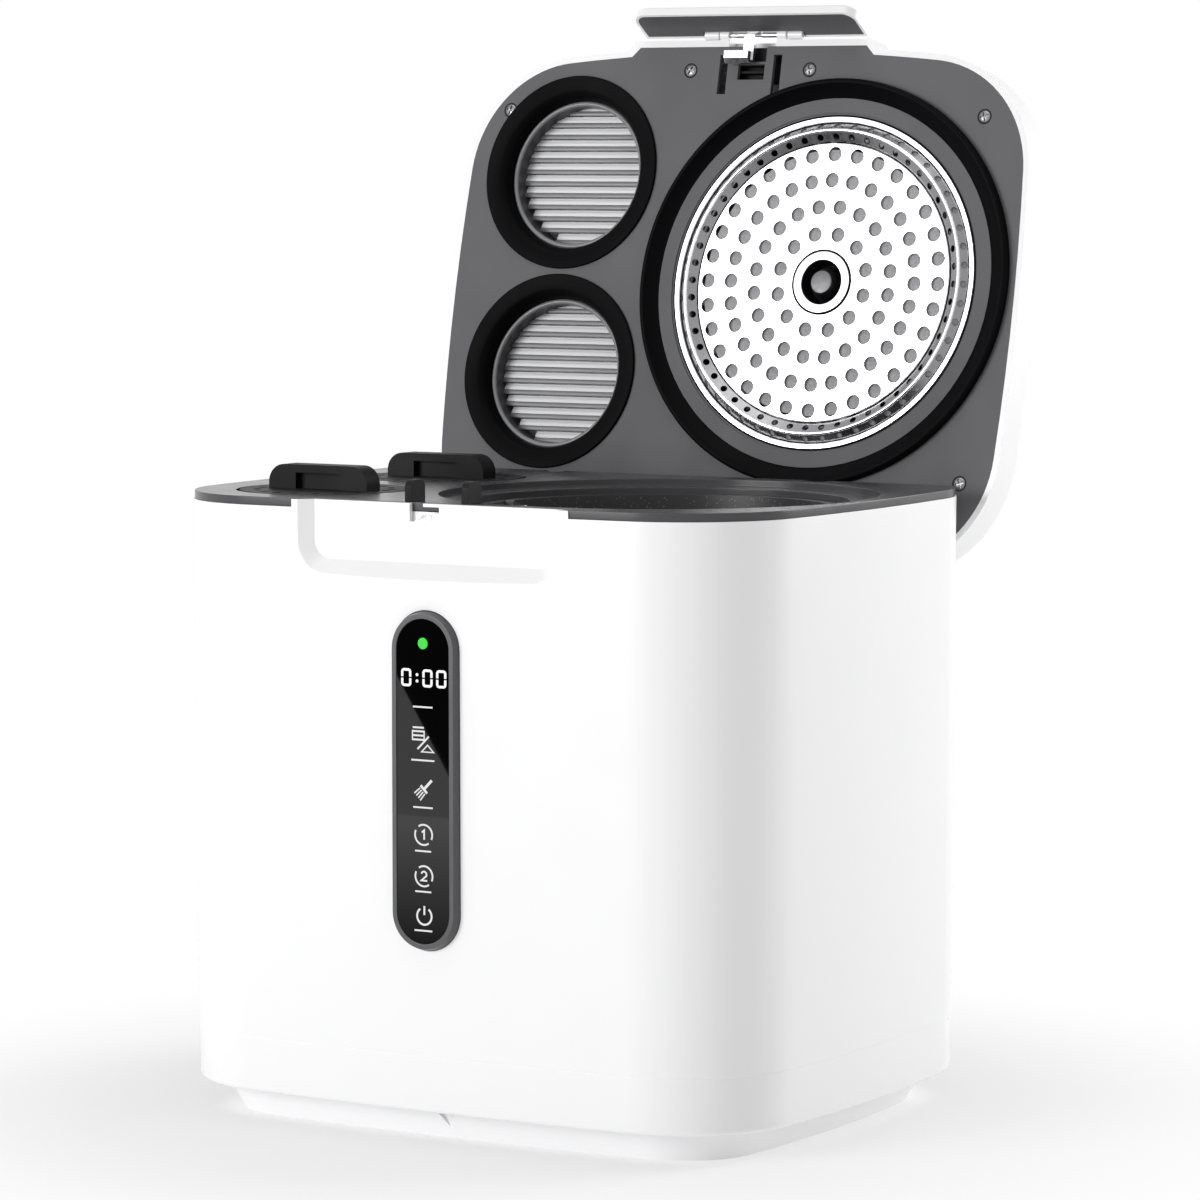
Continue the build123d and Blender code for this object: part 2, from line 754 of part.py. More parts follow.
with BuildPart() as gearbox_cover:
    with BuildSketch(Plane.XY.offset(gearbox_top - gearbox_wall)):
        with Locations((gearbox_x, gearbox_y)):
            RectangleRounded(gearbox_right - gearbox_left, gearbox_back - gearbox_front, 10)
        with Locations((bucket_x, bucket_y)):
            Circle(bearing_radius, mode=Mode.SUBTRACT)
        with Locations((idler_x, bucket_y)):
            Circle(axle_radius, mode=Mode.SUBTRACT)
    extrude(amount=gearbox_wall)
    # pillars that hold the heater plate up
    with BuildSketch(Plane.XY.offset(gearbox_top)):
        with Locations(*pillar_points):
            Circle(pillar_radius)
    extrude(amount=heater_top - heater_thickness - gearbox_top)
write_piece(gearbox_cover, "gearbox_cover")

with BuildPart() as output_bearings:
    with BuildSketch(Plane.XY.offset(gearbox_bottom)):
        with Locations((bucket_x, bucket_y)):
            Circle(bearing_radius)
            Circle(shaft_radius + bore_gap, mode=Mode.SUBTRACT)
    extrude(amount=gearbox_wall)
    with BuildSketch(Plane.XY.offset(gearbox_top - gearbox_wall)):
        with Locations((bucket_x, bucket_y)):
            Circle(bearing_radius)
            Circle(shaft_radius + bore_gap, mode=Mode.SUBTRACT)
    extrude(amount=gearbox_wall)
write_piece(output_bearings, "output_bearings")

with BuildPart() as idler_axle:
    with BuildSketch(Plane.XY.offset(gearbox_bottom)):
        with Locations((idler_x, bucket_y)):
            Circle(axle_radius)
    extrude(amount=gearbox_top - gearbox_bottom)
write_piece(idler_axle, "idler_axle")

with BuildPart() as output_gear:
    with BuildSketch(Plane.XY.offset(upper_low + 1)):
        with Locations((bucket_x, bucket_y)):
            add(gear_sketch(output_teeth, 0, shaft_radius))
    extrude(amount=small_face - 2)
write_piece(output_gear, "output_gear")

tang_width = 3.0
tang_top = bucket_base + 9.0
with BuildPart() as output_shaft:
    with BuildSketch(Plane.XY.offset(gearbox_bottom - 2)):
        with Locations((bucket_x, bucket_y)):
            Circle(shaft_radius)
    extrude(amount=tang_top - gearbox_bottom + 2)
    # flats leave a tang that turns the stirrer
    with BuildSketch(Plane.XY.offset(tang_top)):
        with Locations((bucket_x, bucket_y)):
            Rectangle(4 * shaft_radius, 4 * shaft_radius)
            Rectangle(4 * shaft_radius, tang_width, mode=Mode.SUBTRACT)
    extrude(amount=-5.5, mode=Mode.SUBTRACT)
write_piece(output_shaft, "output_shaft")

with BuildPart() as shaft_seal:
    with BuildSketch(Plane.XY.offset(well_floor - 3)):
        with Locations((bucket_x, bucket_y)):
            Circle(shaft_hole)
            Circle(shaft_radius + bore_gap, mode=Mode.SUBTRACT)
    extrude(amount=3 + well_wall)
write_piece(shaft_seal, "shaft_seal")

with BuildPart() as idler_gear:
    with BuildSketch(Plane.XY.offset(gear_low)):
        with Locations((idler_x, bucket_y)):
            add(gear_sketch(idler_teeth, 0, axle_radius + bore_gap))
    extrude(amount=big_face)
    with BuildSketch(Plane.XY.offset(gear_low + big_face)):
        with Locations((idler_x, bucket_y)):
            add(gear_sketch(pinion_teeth, 180 / pinion_teeth, axle_radius + bore_gap))
    extrude(amount=small_face + 2)
write_piece(idler_gear, "idler_gear")

with BuildPart() as motor_pinion:
    with BuildSketch(Plane.XY.offset(gear_low)):
        with Locations((motor_x, motor_y)):
            add(gear_sketch(pinion_teeth, 180 / pinion_teeth, pin_radius))
    extrude(amount=big_face)
write_piece(motor_pinion, "motor_pinion")

with BuildPart() as motor_shaft:
    with BuildSketch(Plane.XY.offset(motor_bottom + 6)):
        with Locations((motor_x, motor_y)):
            Circle(pin_radius)
    extrude(amount=gear_low + big_face + 2 - motor_bottom - 6)
write_piece(motor_shaft, "motor_shaft")

with BuildPart() as drive_motor:
    with BuildSketch(Plane.XY.offset(motor_bottom)):
        with Locations((motor_x, motor_y)):
            Circle(motor_radius)
    extrude(amount=gearbox_bottom - motor_bottom)
    chamfer(drive_motor.faces().sort_by(Axis.Z)[0].edges(), 2)
    with BuildSketch(Plane.XY.offset(motor_bottom + 5)):
        with Locations((motor_x, motor_y)):
            Circle(pin_radius + bore_gap)
    extrude(amount=motor_length, mode=Mode.SUBTRACT)
write_piece(drive_motor, "drive_motor")

# --- filter wells, duct and fan --------------------------------------------------------
duct_hole = 30.0
with BuildPart() as filter_wells:
    with BuildSketch(Plane.XY.offset(filter_well_floor)):
        with Locations(*[(filter_x, y) for y in filter_ys]):
            Circle(filter_well_radius + filter_well_wall)
    extrude(amount=shell_top - filter_well_floor)
    with BuildSketch(Plane.XY.offset(shell_top)):
        with Locations(*[(filter_x, y) for y in filter_ys]):
            Circle(filter_well_radius + filter_well_wall + 2.5)
    extrude(amount=-1.6)
    with BuildSketch(Plane.XY.offset(filter_well_floor + 2)):
        with Locations(*[(filter_x, y) for y in filter_ys]):
            Circle(filter_well_radius)
    extrude(amount=shell_top, mode=Mode.SUBTRACT)
    with BuildSketch(Plane.XY.offset(filter_well_floor)):
        with Locations(*[(filter_x, y) for y in filter_ys]):
            Circle(duct_hole)
    extrude(amount=2, mode=Mode.SUBTRACT)
write_piece(filter_wells, "filter_wells")

duct_half = 44.0
duct_ahead = 40.0  # how far the duct reaches past the filters' axes
duct_behind = 42.0
chute_overlap = 24.0
duct_left = filter_x - duct_half
duct_right = filter_x + duct_half
duct_front = filter_ys[0] - duct_ahead
duct_back = filter_ys[1] + duct_behind
chute_left = fan_x - fan_size / 2
chute_right = fan_x + fan_size / 2
chute_front = duct_back - chute_overlap
chute_back = fan_rear - fan_depth - fit
chute_bottom = fan_z - fan_size / 2


def duct_block(grow):
    # The duct's outer form, or its hollow when grow is negative.
    with BuildPart(mode=Mode.PRIVATE) as block:
        with BuildSketch(Plane.XY.offset(duct_floor - grow)):
            with Locations(((duct_left + duct_right) / 2, (duct_front + duct_back) / 2)):
                RectangleRounded(
                    duct_right - duct_left + 2 * grow, duct_back - duct_front + 2 * grow, 14
                )
        extrude(amount=duct_top - fit - duct_floor + 2 * grow)
        with Locations(
            ((chute_left + chute_right) / 2, (chute_front + chute_back) / 2, chute_bottom - grow)
        ):
            Box(
                chute_right - chute_left + 2 * grow,
                chute_back - chute_front + 2 * grow,
                duct_top - fit - chute_bottom + 2 * grow,
                align=(Align.CENTER, Align.CENTER, Align.MIN),
            )
    return block.part


with BuildPart() as air_duct:
    add(duct_block(0))
    add(duct_block(-duct_wall), mode=Mode.SUBTRACT)
    with BuildSketch(Plane.XY.offset(duct_top)):
        with Locations(*[(filter_x, y) for y in filter_ys]):
            Circle(duct_hole)
    extrude(amount=-duct_wall - 1, mode=Mode.SUBTRACT)
    with BuildSketch(Plane.XZ.offset(-chute_back)):
        with Locations((fan_x, fan_z)):
            Circle(fan_bore - duct_wall)
    extrude(amount=duct_wall + 1, mode=Mode.SUBTRACT)
write_piece(air_duct, "air_duct")

hub_radius = 14.0
fan_axle = 2.0
spider_thickness = 3.0
with BuildPart() as fan_housing:
    with BuildSketch(Plane.XZ.offset(-fan_rear)):
        with Locations((fan_x, fan_z)):
            RectangleRounded(fan_size, fan_size, 5)
            Circle(fan_bore, mode=Mode.SUBTRACT)
    extrude(amount=fan_depth)
    # four struts carry the fan's bearing hub at the rear
    with BuildSketch(Plane.XZ.offset(-fan_rear)):
        with Locations((fan_x, fan_z)):
            with PolarLocations(0, 4, start_angle=45):
                Rectangle(2 * fan_bore + 1, 4)
            Circle(hub_radius)
    extrude(amount=spider_thickness)
    with BuildSketch(Plane.XZ.offset(-fan_rear)):
        with Locations((fan_x, fan_z)):
            Circle(fan_axle + bore_gap)
    extrude(amount=fan_depth, mode=Mode.SUBTRACT)
write_piece(fan_housing, "fan_housing")

blade_count = 7
with BuildPart() as fan_impeller:
    with BuildSketch(Plane.XZ.offset(-fan_rear + spider_thickness + 0.6)):
        with Locations((fan_x, fan_z)):
            Circle(hub_radius)
    extrude(amount=fan_depth - spider_thickness - 3)
    with BuildSketch(Plane.XZ.offset(-fan_rear)):
        with Locations((fan_x, fan_z)):
            Circle(fan_axle)
    extrude(amount=spider_thickness + 2)
    for k in range(blade_count):
        blade_plane = Plane(
            origin=(fan_x, fan_rear - fan_depth / 2 - 1, fan_z),
            x_dir=(cos(radians(k * 360 / blade_count)), 0, sin(radians(k * 360 / blade_count))),
            z_dir=(
                -sin(radians(k * 360 / blade_count)) * cos(radians(40)),
                sin(radians(40)),
                cos(radians(k * 360 / blade_count)) * cos(radians(40)),
            ),
        )
        with BuildSketch(blade_plane):
            with Locations(((hub_radius - 1 + fan_bore - 2) / 2, 0)):
                Rectangle(fan_bore - 2 - hub_radius + 1, 19)
        extrude(amount=0.8, both=True)
write_piece(fan_impeller, "fan_impeller")

grille_flange = 2.4
grille_rise = 3.4
with BuildPart() as rear_vent_grille:
    with BuildSketch(Plane.XZ.offset(-fan_rear - fit)):
        with Locations((fan_x, fan_z)):
            RectangleRounded(vent_side + 6, vent_side + 6, 6)
    extrude(amount=-grille_flange)
    with BuildSketch(Plane.XZ.offset(-fan_rear - fit - grille_flange)):
        with Locations((fan_x, fan_z)):
            RectangleRounded(vent_side - 2 * fit, vent_side - 2 * fit, 6)
    extrude(amount=-grille_rise)
    with BuildSketch(Plane.XZ.offset(-fan_rear)):
        with Locations((fan_x, fan_z)):
            with GridLocations(vent_side / 2 - 3, 7.0, 2, 9):
                SlotOverall(vent_side / 2 - 8, 3.6)
    extrude(amount=-12, mode=Mode.SUBTRACT)
write_piece(rear_vent_grille, "rear_vent_grille")

# --- power inlet and boards ----------------------------------------------------------
inlet_length = 20.6
inlet_flange_back = 6.4  # from the inlet's face to its flange
inlet_face = body_depth / 2 - inlet_set_in
inlet_flange_y = inlet_face - inlet_flange_back
inlet_well = 16.0
with BuildPart() as power_inlet:
    with BuildSketch(Plane.XZ.offset(-inlet_face)):
        with Locations((inlet_x, inlet_z)):
            RectangleRounded(inlet_width, inlet_height, 3)
    extrude(amount=inlet_length)
    with BuildSketch(Plane.XZ.offset(-inlet_flange_y)):
        with Locations((inlet_x, inlet_z)):
            RectangleRounded(inlet_width + 6, inlet_height + 6, 3)
    extrude(amount=-2)
    with BuildSketch(Plane.XZ.offset(-inlet_face)):
        with Locations((inlet_x, inlet_z)):
            RectangleRounded(inlet_width - 4, inlet_height - 4, 2)
    extrude(amount=inlet_well, mode=Mode.SUBTRACT)
    # three contact pins in its well
    with BuildSketch(Plane.XZ.offset(-inlet_face + inlet_well)):
        with Locations(
            (inlet_x - 7, inlet_z - 2), (inlet_x, inlet_z + 2), (inlet_x + 7, inlet_z - 2)
        ):
            Rectangle(2, 4)
    extrude(amount=-inlet_well + 5.5)
write_piece(power_inlet, "power_inlet")

with BuildPart() as main_circuit_board:
    with BuildSketch(Plane.XY.offset(board_z)):
        with Locations((board_x, board_y)):
            Rectangle(board_width, board_length)
    extrude(amount=board_thickness)
write_piece(main_circuit_board, "main_circuit_board")

board_top = board_z + board_thickness
with BuildPart() as board_components:
    with BuildSketch(Plane.XY.offset(board_top)):
        with Locations((board_x - 20, board_y - 40), (board_x - 20, board_y - 18)):
            Circle(8)
    extrude(amount=26)
    with BuildSketch(Plane.XY.offset(board_top)):
        with Locations((board_x + 10, board_y - 42)):
            Rectangle(28, 24)
        with Locations((board_x + 12, board_y + 10)):
            Rectangle(16, 19)
        with Locations((board_x - 18, board_y + 22)):
            Rectangle(20, 16)
        with Locations((board_x + 12, board_y + 44)):
            Rectangle(34, 8)
    extrude(amount=16)
write_piece(board_components, "board_components")

# --- lid hinge -----------------------------------------------------------------------
cheek_radius = 8.0
base_low = 269.0
cheek_offset = arm_width / 2 + arm_gap + cheek_thickness / 2
wall_at_base = (
    hinge_y
    + (barrel_radius - wall) * cos(lean)
    - (hinge_z - (barrel_radius - wall) * sin(lean) - base_low) * tan(lean)
)
with BuildPart() as hinge_brackets:
    for side in (-1, 1):
        for cheek in (-1, 1):
            cheek_x = side * hinge_x + cheek * cheek_offset
            with BuildSketch(Plane.YZ.offset(cheek_x - cheek_thickness / 2)):
                with Locations((hinge_y, hinge_z)):
                    Circle(cheek_radius)
                with Locations((hinge_y, (hinge_z + base_low) / 2)):
                    Rectangle(2 * cheek_radius, hinge_z - base_low)
                with Locations((hinge_y, hinge_z)):
                    Circle(pin_radius, mode=Mode.SUBTRACT)
            extrude(amount=cheek_thickness)
        with BuildSketch(Plane.XY.offset(base_low)):
            with Locations((side * hinge_x, (hinge_y - 12 + wall_at_base - fit) / 2)):
                Rectangle(
                    2 * cheek_offset + cheek_thickness, wall_at_base - fit - hinge_y + 12
                )
        extrude(amount=3)
write_piece(hinge_brackets, "hinge_brackets")

with BuildPart() as hinge_pins:
    for side in (-1, 1):
        pin_left = side * hinge_x - cheek_offset - cheek_thickness / 2 - 1
        with BuildSketch(Plane.YZ.offset(pin_left)):
            with Locations((hinge_y, hinge_z)):
                Circle(pin_radius)
        extrude(amount=2 * (cheek_offset + cheek_thickness / 2 + 1))
write_piece(hinge_pins, "hinge_pins")

sensor_x = -42.0
sensor_set_back = 31.65  # from the casing's front to the lid sensor
sensor_y = sensor_set_back - body_depth / 2
with BuildPart() as lid_sensor:
    with Locations((sensor_x, sensor_y, shell_top)):
        Box(20, 9, 7, align=(Align.CENTER, Align.CENTER, Align.MAX))
write_piece(lid_sensor, "lid_sensor")

# --- bucket ----------------------------------------------------------------------------
chimney_outer = 12.0
chimney_inner = 9.0
chimney_top = 172.0
bush_bore = 6.0 + bore_gap
bush_length = 30.0
floor_thickness = 1.6
rim_low = bucket_top - rim_thickness

bail_radius = 77.5
bail_wire = 2.0
bail_z = 297.0
bail_gap = 0.06
ear_x = 82.0
ear_depth = 5.2

with BuildPart() as bucket_pot:
    with BuildSketch(Plane.XZ.offset(-bucket_y)):
        with BuildLine():
            Polyline(
                (bucket_x + chimney_inner, bucket_base),
                (bucket_x + bucket_base_radius, bucket_base),
                (bucket_x + bucket_top_radius, rim_low),
                (bucket_x + bucket_rim_radius, rim_low),
                (bucket_x + bucket_rim_radius, bucket_top),
                (bucket_x + bucket_top_radius - bucket_wall, bucket_top),
                (bucket_x + bucket_base_radius - bucket_wall, bucket_base + floor_thickness),
                (bucket_x + chimney_outer, bucket_base + floor_thickness),
                (bucket_x + chimney_outer, chimney_top),
                (bucket_x + chimney_inner, chimney_top),
                close=True,
            )
        make_face()
    revolve(axis=Axis((bucket_x, bucket_y, 0), (0, 0, 1)))
    base_edge = bucket_pot.edges().filter_by(GeomType.CIRCLE).group_by(Axis.Z)[0]
    fillet(base_edge.sort_by(SortBy.RADIUS)[-1], 6)
    inner_floor = bucket_pot.edges().filter_by(GeomType.CIRCLE).filter_by(
        lambda e: abs(e.center().Z - bucket_base - floor_thickness) < 0.01
        and e.radius > chimney_outer + 5
    )
    fillet(inner_floor, 5)
    # ears inside the rim that hold the ends of the bail
    for side in (-1, 1):
        ear_inside = Plane.YZ.offset(bucket_x + side * (ear_x - 2))
        with BuildSketch(ear_inside):
            with Locations((bucket_y, bail_z - 1)):
                RectangleRounded(14, 11, 3)
        extrude(amount=side * ear_depth)
        with BuildSketch(ear_inside):
            with Locations((bucket_y, bail_z)):
                Circle(bail_wire + bail_gap)
        extrude(amount=side * (ear_depth - 1.6), mode=Mode.SUBTRACT)
write_piece(bucket_pot, "bucket_pot")

with BuildPart() as bucket_bush:
    with BuildSketch(Plane.XY.offset(chimney_top - bush_length)):
        with Locations((bucket_x, bucket_y)):
            Circle(chimney_inner)
            Circle(bush_bore, mode=Mode.SUBTRACT)
    extrude(amount=bush_length)
write_piece(bucket_bush, "bucket_bush")

with BuildPart() as bucket_bail:
    with BuildSketch(Plane.YZ.offset(bucket_x + bail_radius - 2)):
        with Locations((bucket_y, bail_z)):
            Circle(bail_wire)
    extrude(amount=ear_x + 1 - bail_radius + 2)
    with BuildSketch(Plane.YZ.offset(bucket_x - bail_radius + 2)):
        with Locations((bucket_y, bail_z)):
            Circle(bail_wire)
    extrude(amount=-(ear_x + 1 - bail_radius + 2))
    with BuildSketch(Plane.XZ.offset(-bucket_y)):
        with Locations((bucket_x + bail_radius, bail_z)):
            Circle(bail_wire)
    revolve(axis=Axis((bucket_x, bucket_y, 0), (0, 0, -1)), revolution_arc=180)
write_piece(bucket_bail, "bucket_bail")

# --- stirrer -----------------------------------------------------------------------------
stir_shaft = 6.0
stir_low = tang_top - 5.0
stir_head_low = bucket_base + floor_thickness + 1.5
stir_head_top = chimney_top + 10
stir_bore = chimney_outer + 1.0
stir_outer = chimney_outer + 5.0

with BuildPart() as stirrer_shaft:
    with BuildSketch(Plane.XY.offset(stir_low)):
        with Locations((bucket_x, bucket_y)):
            Circle(stir_shaft)
    extrude(amount=chimney_top + 4 - stir_low)
    with BuildSketch(Plane.XY.offset(stir_low)):
        with Locations((bucket_x, bucket_y)):
            Rectangle(4 * stir_shaft, tang_width + 0.6)
    extrude(amount=5 + fit, mode=Mode.SUBTRACT)
write_piece(stirrer_shaft, "stirrer_shaft")

blade_reach = 75.0
blade_thickness = 5.0
with BuildPart() as stirrer_head:
    with BuildSketch(Plane.XY.offset(stir_head_low)):
        with Locations((bucket_x, bucket_y)):
            Circle(stir_outer)
    extrude(amount=stir_head_top - stir_head_low)
    fillet(stirrer_head.faces().sort_by(Axis.Z)[-1].edges(), 4)
    with BuildSketch(Plane.XY.offset(stir_head_low)):
        with Locations((bucket_x, bucket_y)):
            Circle(stir_bore)
    extrude(amount=chimney_top + 4 - stir_head_low, mode=Mode.SUBTRACT)
    for turn, reach, low, high in (
        (20, blade_reach, stir_head_low, stir_head_low + 14),
        (200, blade_reach, stir_head_low, stir_head_low + 14),
        (110, 58.0, stir_head_low + 16, stir_head_low + 27),
        (290, 66.0, stir_head_low + 29, stir_head_low + 40),
    ):
        blade_plane = Plane(
            origin=(bucket_x, bucket_y, low),
            x_dir=(cos(radians(turn)), sin(radians(turn)), 0),
            z_dir=(0, 0, 1),
        )
        with BuildSketch(blade_plane):
            with BuildLine():
                Polyline(
                    (stir_outer - 2, -blade_thickness),
                    (reach, -blade_thickness / 2 + 6),
                    (reach, blade_thickness / 2 + 4),
                    (stir_outer - 2, blade_thickness),
                    close=True,
                )
            make_face()
        extrude(amount=high - low)
write_piece(stirrer_head, "stirrer_head")


# --- lift-out carbon filters ---------------------------------------------------------------
can_low = filter_well_floor + 2 + fit
can_top = deck_top - cap_thickness

for name, filter_y in zip(filter_names, filter_ys):
    with BuildPart() as filter_can:
        with BuildSketch(Plane.XY.offset(can_low)):
            with Locations((filter_x, filter_y)):
                Circle(filter_radius)
        extrude(amount=can_top - can_low)
        with BuildSketch(Plane.XY.offset(can_low + filter_wall)):
            with Locations((filter_x, filter_y)):
                Circle(filter_radius - filter_wall)
        extrude(amount=can_top, mode=Mode.SUBTRACT)
        with BuildSketch(Plane.XY.offset(can_low)):
            with Locations((filter_x, filter_y)):
                with PolarLocations(24, 12):
                    Circle(2.5)
                with PolarLocations(14, 7):
                    Circle(2.5)
        extrude(amount=filter_wall, mode=Mode.SUBTRACT)
    write_piece(filter_can, f"{name}_filter_can")

    with BuildPart() as filter_cap:
        with BuildSketch(Plane.XY.offset(can_top)):
            with Locations((filter_x, filter_y)):
                Circle(cap_radius)
        extrude(amount=cap_thickness)
        with BuildSketch(Plane.XY.offset(can_top)):
            with Locations((filter_x, filter_y)):
                with PolarLocations(33.5, 20, start_angle=9):
                    Circle(2.2)
        extrude(amount=cap_thickness, mode=Mode.SUBTRACT)
        with BuildSketch(Plane.XZ.offset(-filter_y - handle_thickness / 2)):
            with Locations((filter_x, deck_top + handle_height / 2)):
                Rectangle(handle_length, handle_height)
            handle_top = vertices().group_by(Axis.Y)[-1]
            fillet(handle_top, handle_round)
        extrude(amount=handle_thickness)
        for side in (-1, 1):
            face_y = filter_y + side * handle_thickness / 2
            with Locations((filter_x, face_y, deck_top)):
                Box(
                    grip_width,
                    2 * grip_depth,
                    grip_height,
                    align=(Align.CENTER, Align.CENTER, Align.MIN),
                    mode=Mode.SUBTRACT,
                )
    write_piece(filter_cap, f"{name}_filter_cap")

# --- lid shell ---------------------------------------------------------------------------------
tab_reach = 2.6  # the liner's front tab stands this far beyond its front edge
tab_edge = liner_depth + tab_reach
tab_half = 67.5
tab_step = 4.9
tab_root = liner_depth - 11.1
tab_depth = 16.0
latch_notch = 14.0
latch_notch_depth = 8.0
knuckle_length = 5.2
knuckle_x = 17.0
knuckle_radius = 2.7
screw_radius = 3.0
screw_points = [
    (-35.5, liner_depth - 10.0),
    (35.5, liner_depth - 10.0),
    (22.3 - liner_width / 2, liner_depth - 30.8),
    (liner_width / 2 - 27.0, liner_depth - 35.0),
    (19.9 - liner_width / 2, 49.8),
    (liner_width / 2 - 19.9, 49.8),
    (-20.0, 22.0),
]


def lid_block(depth, inset):
    with BuildPart(mode=Mode.PRIVATE) as block:
        with BuildSketch(lid_plane):
            with Locations((0, lid_mid_v)):
                add(lid_outline(inset))
        extrude(amount=-depth)
        far_face = block.faces().sort_by(lid_out)[0]
        fillet(far_face.edges(), lid_edge_round - max(0, inset + border))
    return block.part


def tab_sketch(half, step, edge):
    with BuildSketch(Plane.XY, mode=Mode.PRIVATE) as tab:
        with BuildLine():
            Polyline(
                (-half - step, tab_root),
                (-half - step, edge - step - 0.3),
                (-half, edge),
                (half, edge),
                (half + step, edge - step - 0.3),
                (half + step, tab_root),
                close=True,
            )
        make_face()
    return tab.sketch


with BuildPart() as lid_shell:
    add(lid_block(lid_thickness, -border))
    with BuildSketch(lid_plane):
        add(tab_sketch(tab_half + border - 0.5, tab_step, tab_edge + border + 0.5))
    extrude(amount=-tab_depth)
    add(lid_block(lid_thickness - lid_skin, 0), mode=Mode.SUBTRACT)
    with BuildSketch(lid_plane):
        add(tab_sketch(tab_half, tab_step, tab_edge))
    extrude(amount=-tab_depth + 2, mode=Mode.SUBTRACT)
    # gap in the front border for the latch, and its two hinge knuckles
    with BuildSketch(lid_plane):
        with Locations((0, tab_edge + 3)):
            Rectangle(2 * latch_notch, 8)
    extrude(amount=-latch_notch_depth, mode=Mode.SUBTRACT)
    for side in (-1, 1):
        knuckle_plane = Plane(
            origin=lid_plane.from_local_coords(
                Vector(side * knuckle_x - knuckle_length / 2, flap_axis_v, flap_axis_w)
            ),
            x_dir=lid_plane.y_dir,
            z_dir=(1, 0, 0),
        )
        with BuildSketch(knuckle_plane):
            Circle(knuckle_radius)
            with Locations((-2.5, -0.6)):
                Rectangle(5, 4.2)
            Circle(flap_pin, mode=Mode.SUBTRACT)
        extrude(amount=knuckle_length)
write_piece(lid_shell, "lid_shell")

# --- lid liner --------------------------------------------------------------------------------
fin_slot_width = fin_thickness + 0.8
fin_slot_low = closed_shift - fin_back - 1.95
fin_slot_high = closed_shift - fin_front + 6.55
window = (-7.0, liner_depth - 15.0, 8.6, liner_depth - 6.9)
hook_window = (-4.5, liner_depth - 5.5, 9.0, tab_edge)
tray_rim = 88.5
tray_hole = 85.0
port_seal_inner = 49.6

with BuildPart() as lid_liner:
    with BuildSketch(lid_plane):
        with Locations((0, lid_mid_v)):
            add(lid_outline(0))
        add(tab_sketch(tab_half, tab_step, tab_edge))
        with Locations((bucket_x, bucket_v)):
            Circle(tray_hole, mode=Mode.SUBTRACT)
        with Locations(*[(filter_x, v) for v in filter_vs]):
            Circle(port_seal_inner, mode=Mode.SUBTRACT)
        with Locations(
            (-fin_x, (fin_slot_low + fin_slot_high) / 2),
            (fin_x, (fin_slot_low + fin_slot_high) / 2),
        ):
            Rectangle(fin_slot_width, fin_slot_high - fin_slot_low, mode=Mode.SUBTRACT)
        for left, low, right, high in (window, hook_window):
            with Locations(((left + right) / 2, (low + high) / 2)):
                Rectangle(right - left, high - low, mode=Mode.SUBTRACT)
        with Locations(*screw_points):
            Circle(screw_radius, mode=Mode.SUBTRACT)
    extrude(amount=-liner_thickness)
    # raised ring between the steel cover and the seal
    with BuildSketch(lid_plane):
        with Locations((bucket_x, bucket_v)):
            Circle(seal_inner)
            Circle(tray_rim + fit, mode=Mode.SUBTRACT)
    extrude(amount=0.7)
    # screw bosses that reach into the shell
    with BuildSketch(lid_plane.offset(-liner_thickness)):
        with Locations(*screw_points):
            Circle(screw_radius + 1.4)
            Circle(screw_radius - 1.4, mode=Mode.SUBTRACT)
    extrude(amount=-6)
write_piece(lid_liner, "lid_liner")

with BuildPart() as latch_block:
    with BuildSketch(lid_plane.offset(-liner_thickness)):
        with Locations((0.8, liner_depth - 6.6)):
            Rectangle(25, 18)
    extrude(amount=-7)
    with BuildSketch(lid_plane.offset(-liner_thickness)):
        with Locations((0.8, liner_depth - 12.9)):
            Rectangle(15.6, 3.4)
        with Locations((0.8, liner_depth - 8.5)):
            Rectangle(15.6, 2.6)
    extrude(amount=-4.5, mode=Mode.SUBTRACT)
write_piece(latch_block, "latch_block")

with BuildPart() as lid_screws:
    with BuildSketch(lid_plane.offset(-0.2)):
        with Locations(*screw_points):
            Circle(screw_radius - 0.15)
    extrude(amount=-2.3)
    with BuildSketch(lid_plane.offset(-0.2)):
        with Locations(*screw_points):
            Rectangle(3.6, 0.9)
            Rectangle(0.9, 3.6)
    extrude(amount=-1.2, mode=Mode.SUBTRACT)
    with BuildSketch(lid_plane.offset(-2.5)):
        with Locations(*screw_points):
            Circle(1.5)
    extrude(amount=-5.5)
write_piece(lid_screws, "lid_screws")


def lid_ring(u, v, outline):
    # A ring turned about a lid port's own axis from (radius, height above liner) points.
    ring_plane = Plane(
        origin=lid_plane.from_local_coords(Vector(u, v, 0)),
        x_dir=lid_plane.x_dir,
        z_dir=-lid_plane.y_dir,
    )
    with BuildPart(mode=Mode.PRIVATE) as ring:
        with BuildSketch(ring_plane):
            with BuildLine():
                Polyline(*outline, close=True)
            make_face()
        revolve(axis=Axis(ring_plane.origin, lid_plane.z_dir))
    return ring.part


# --- bucket seal and perforated steel cover --------------------------------------------------
with BuildPart() as bucket_seal:
    add(lid_ring(bucket_x, bucket_v, [
        (seal_inner, 0),
        (seal_inner, 1.6),
        (seal_inner + 1.6, seal_height - 0.6),
        (seal_inner + 3.2, seal_height),
        (seal_outer - 2.8, seal_height),
        (seal_outer - 0.8, seal_height - 1.2),
        (seal_outer, 0),
    ]))
write_piece(bucket_seal, "bucket_seal")

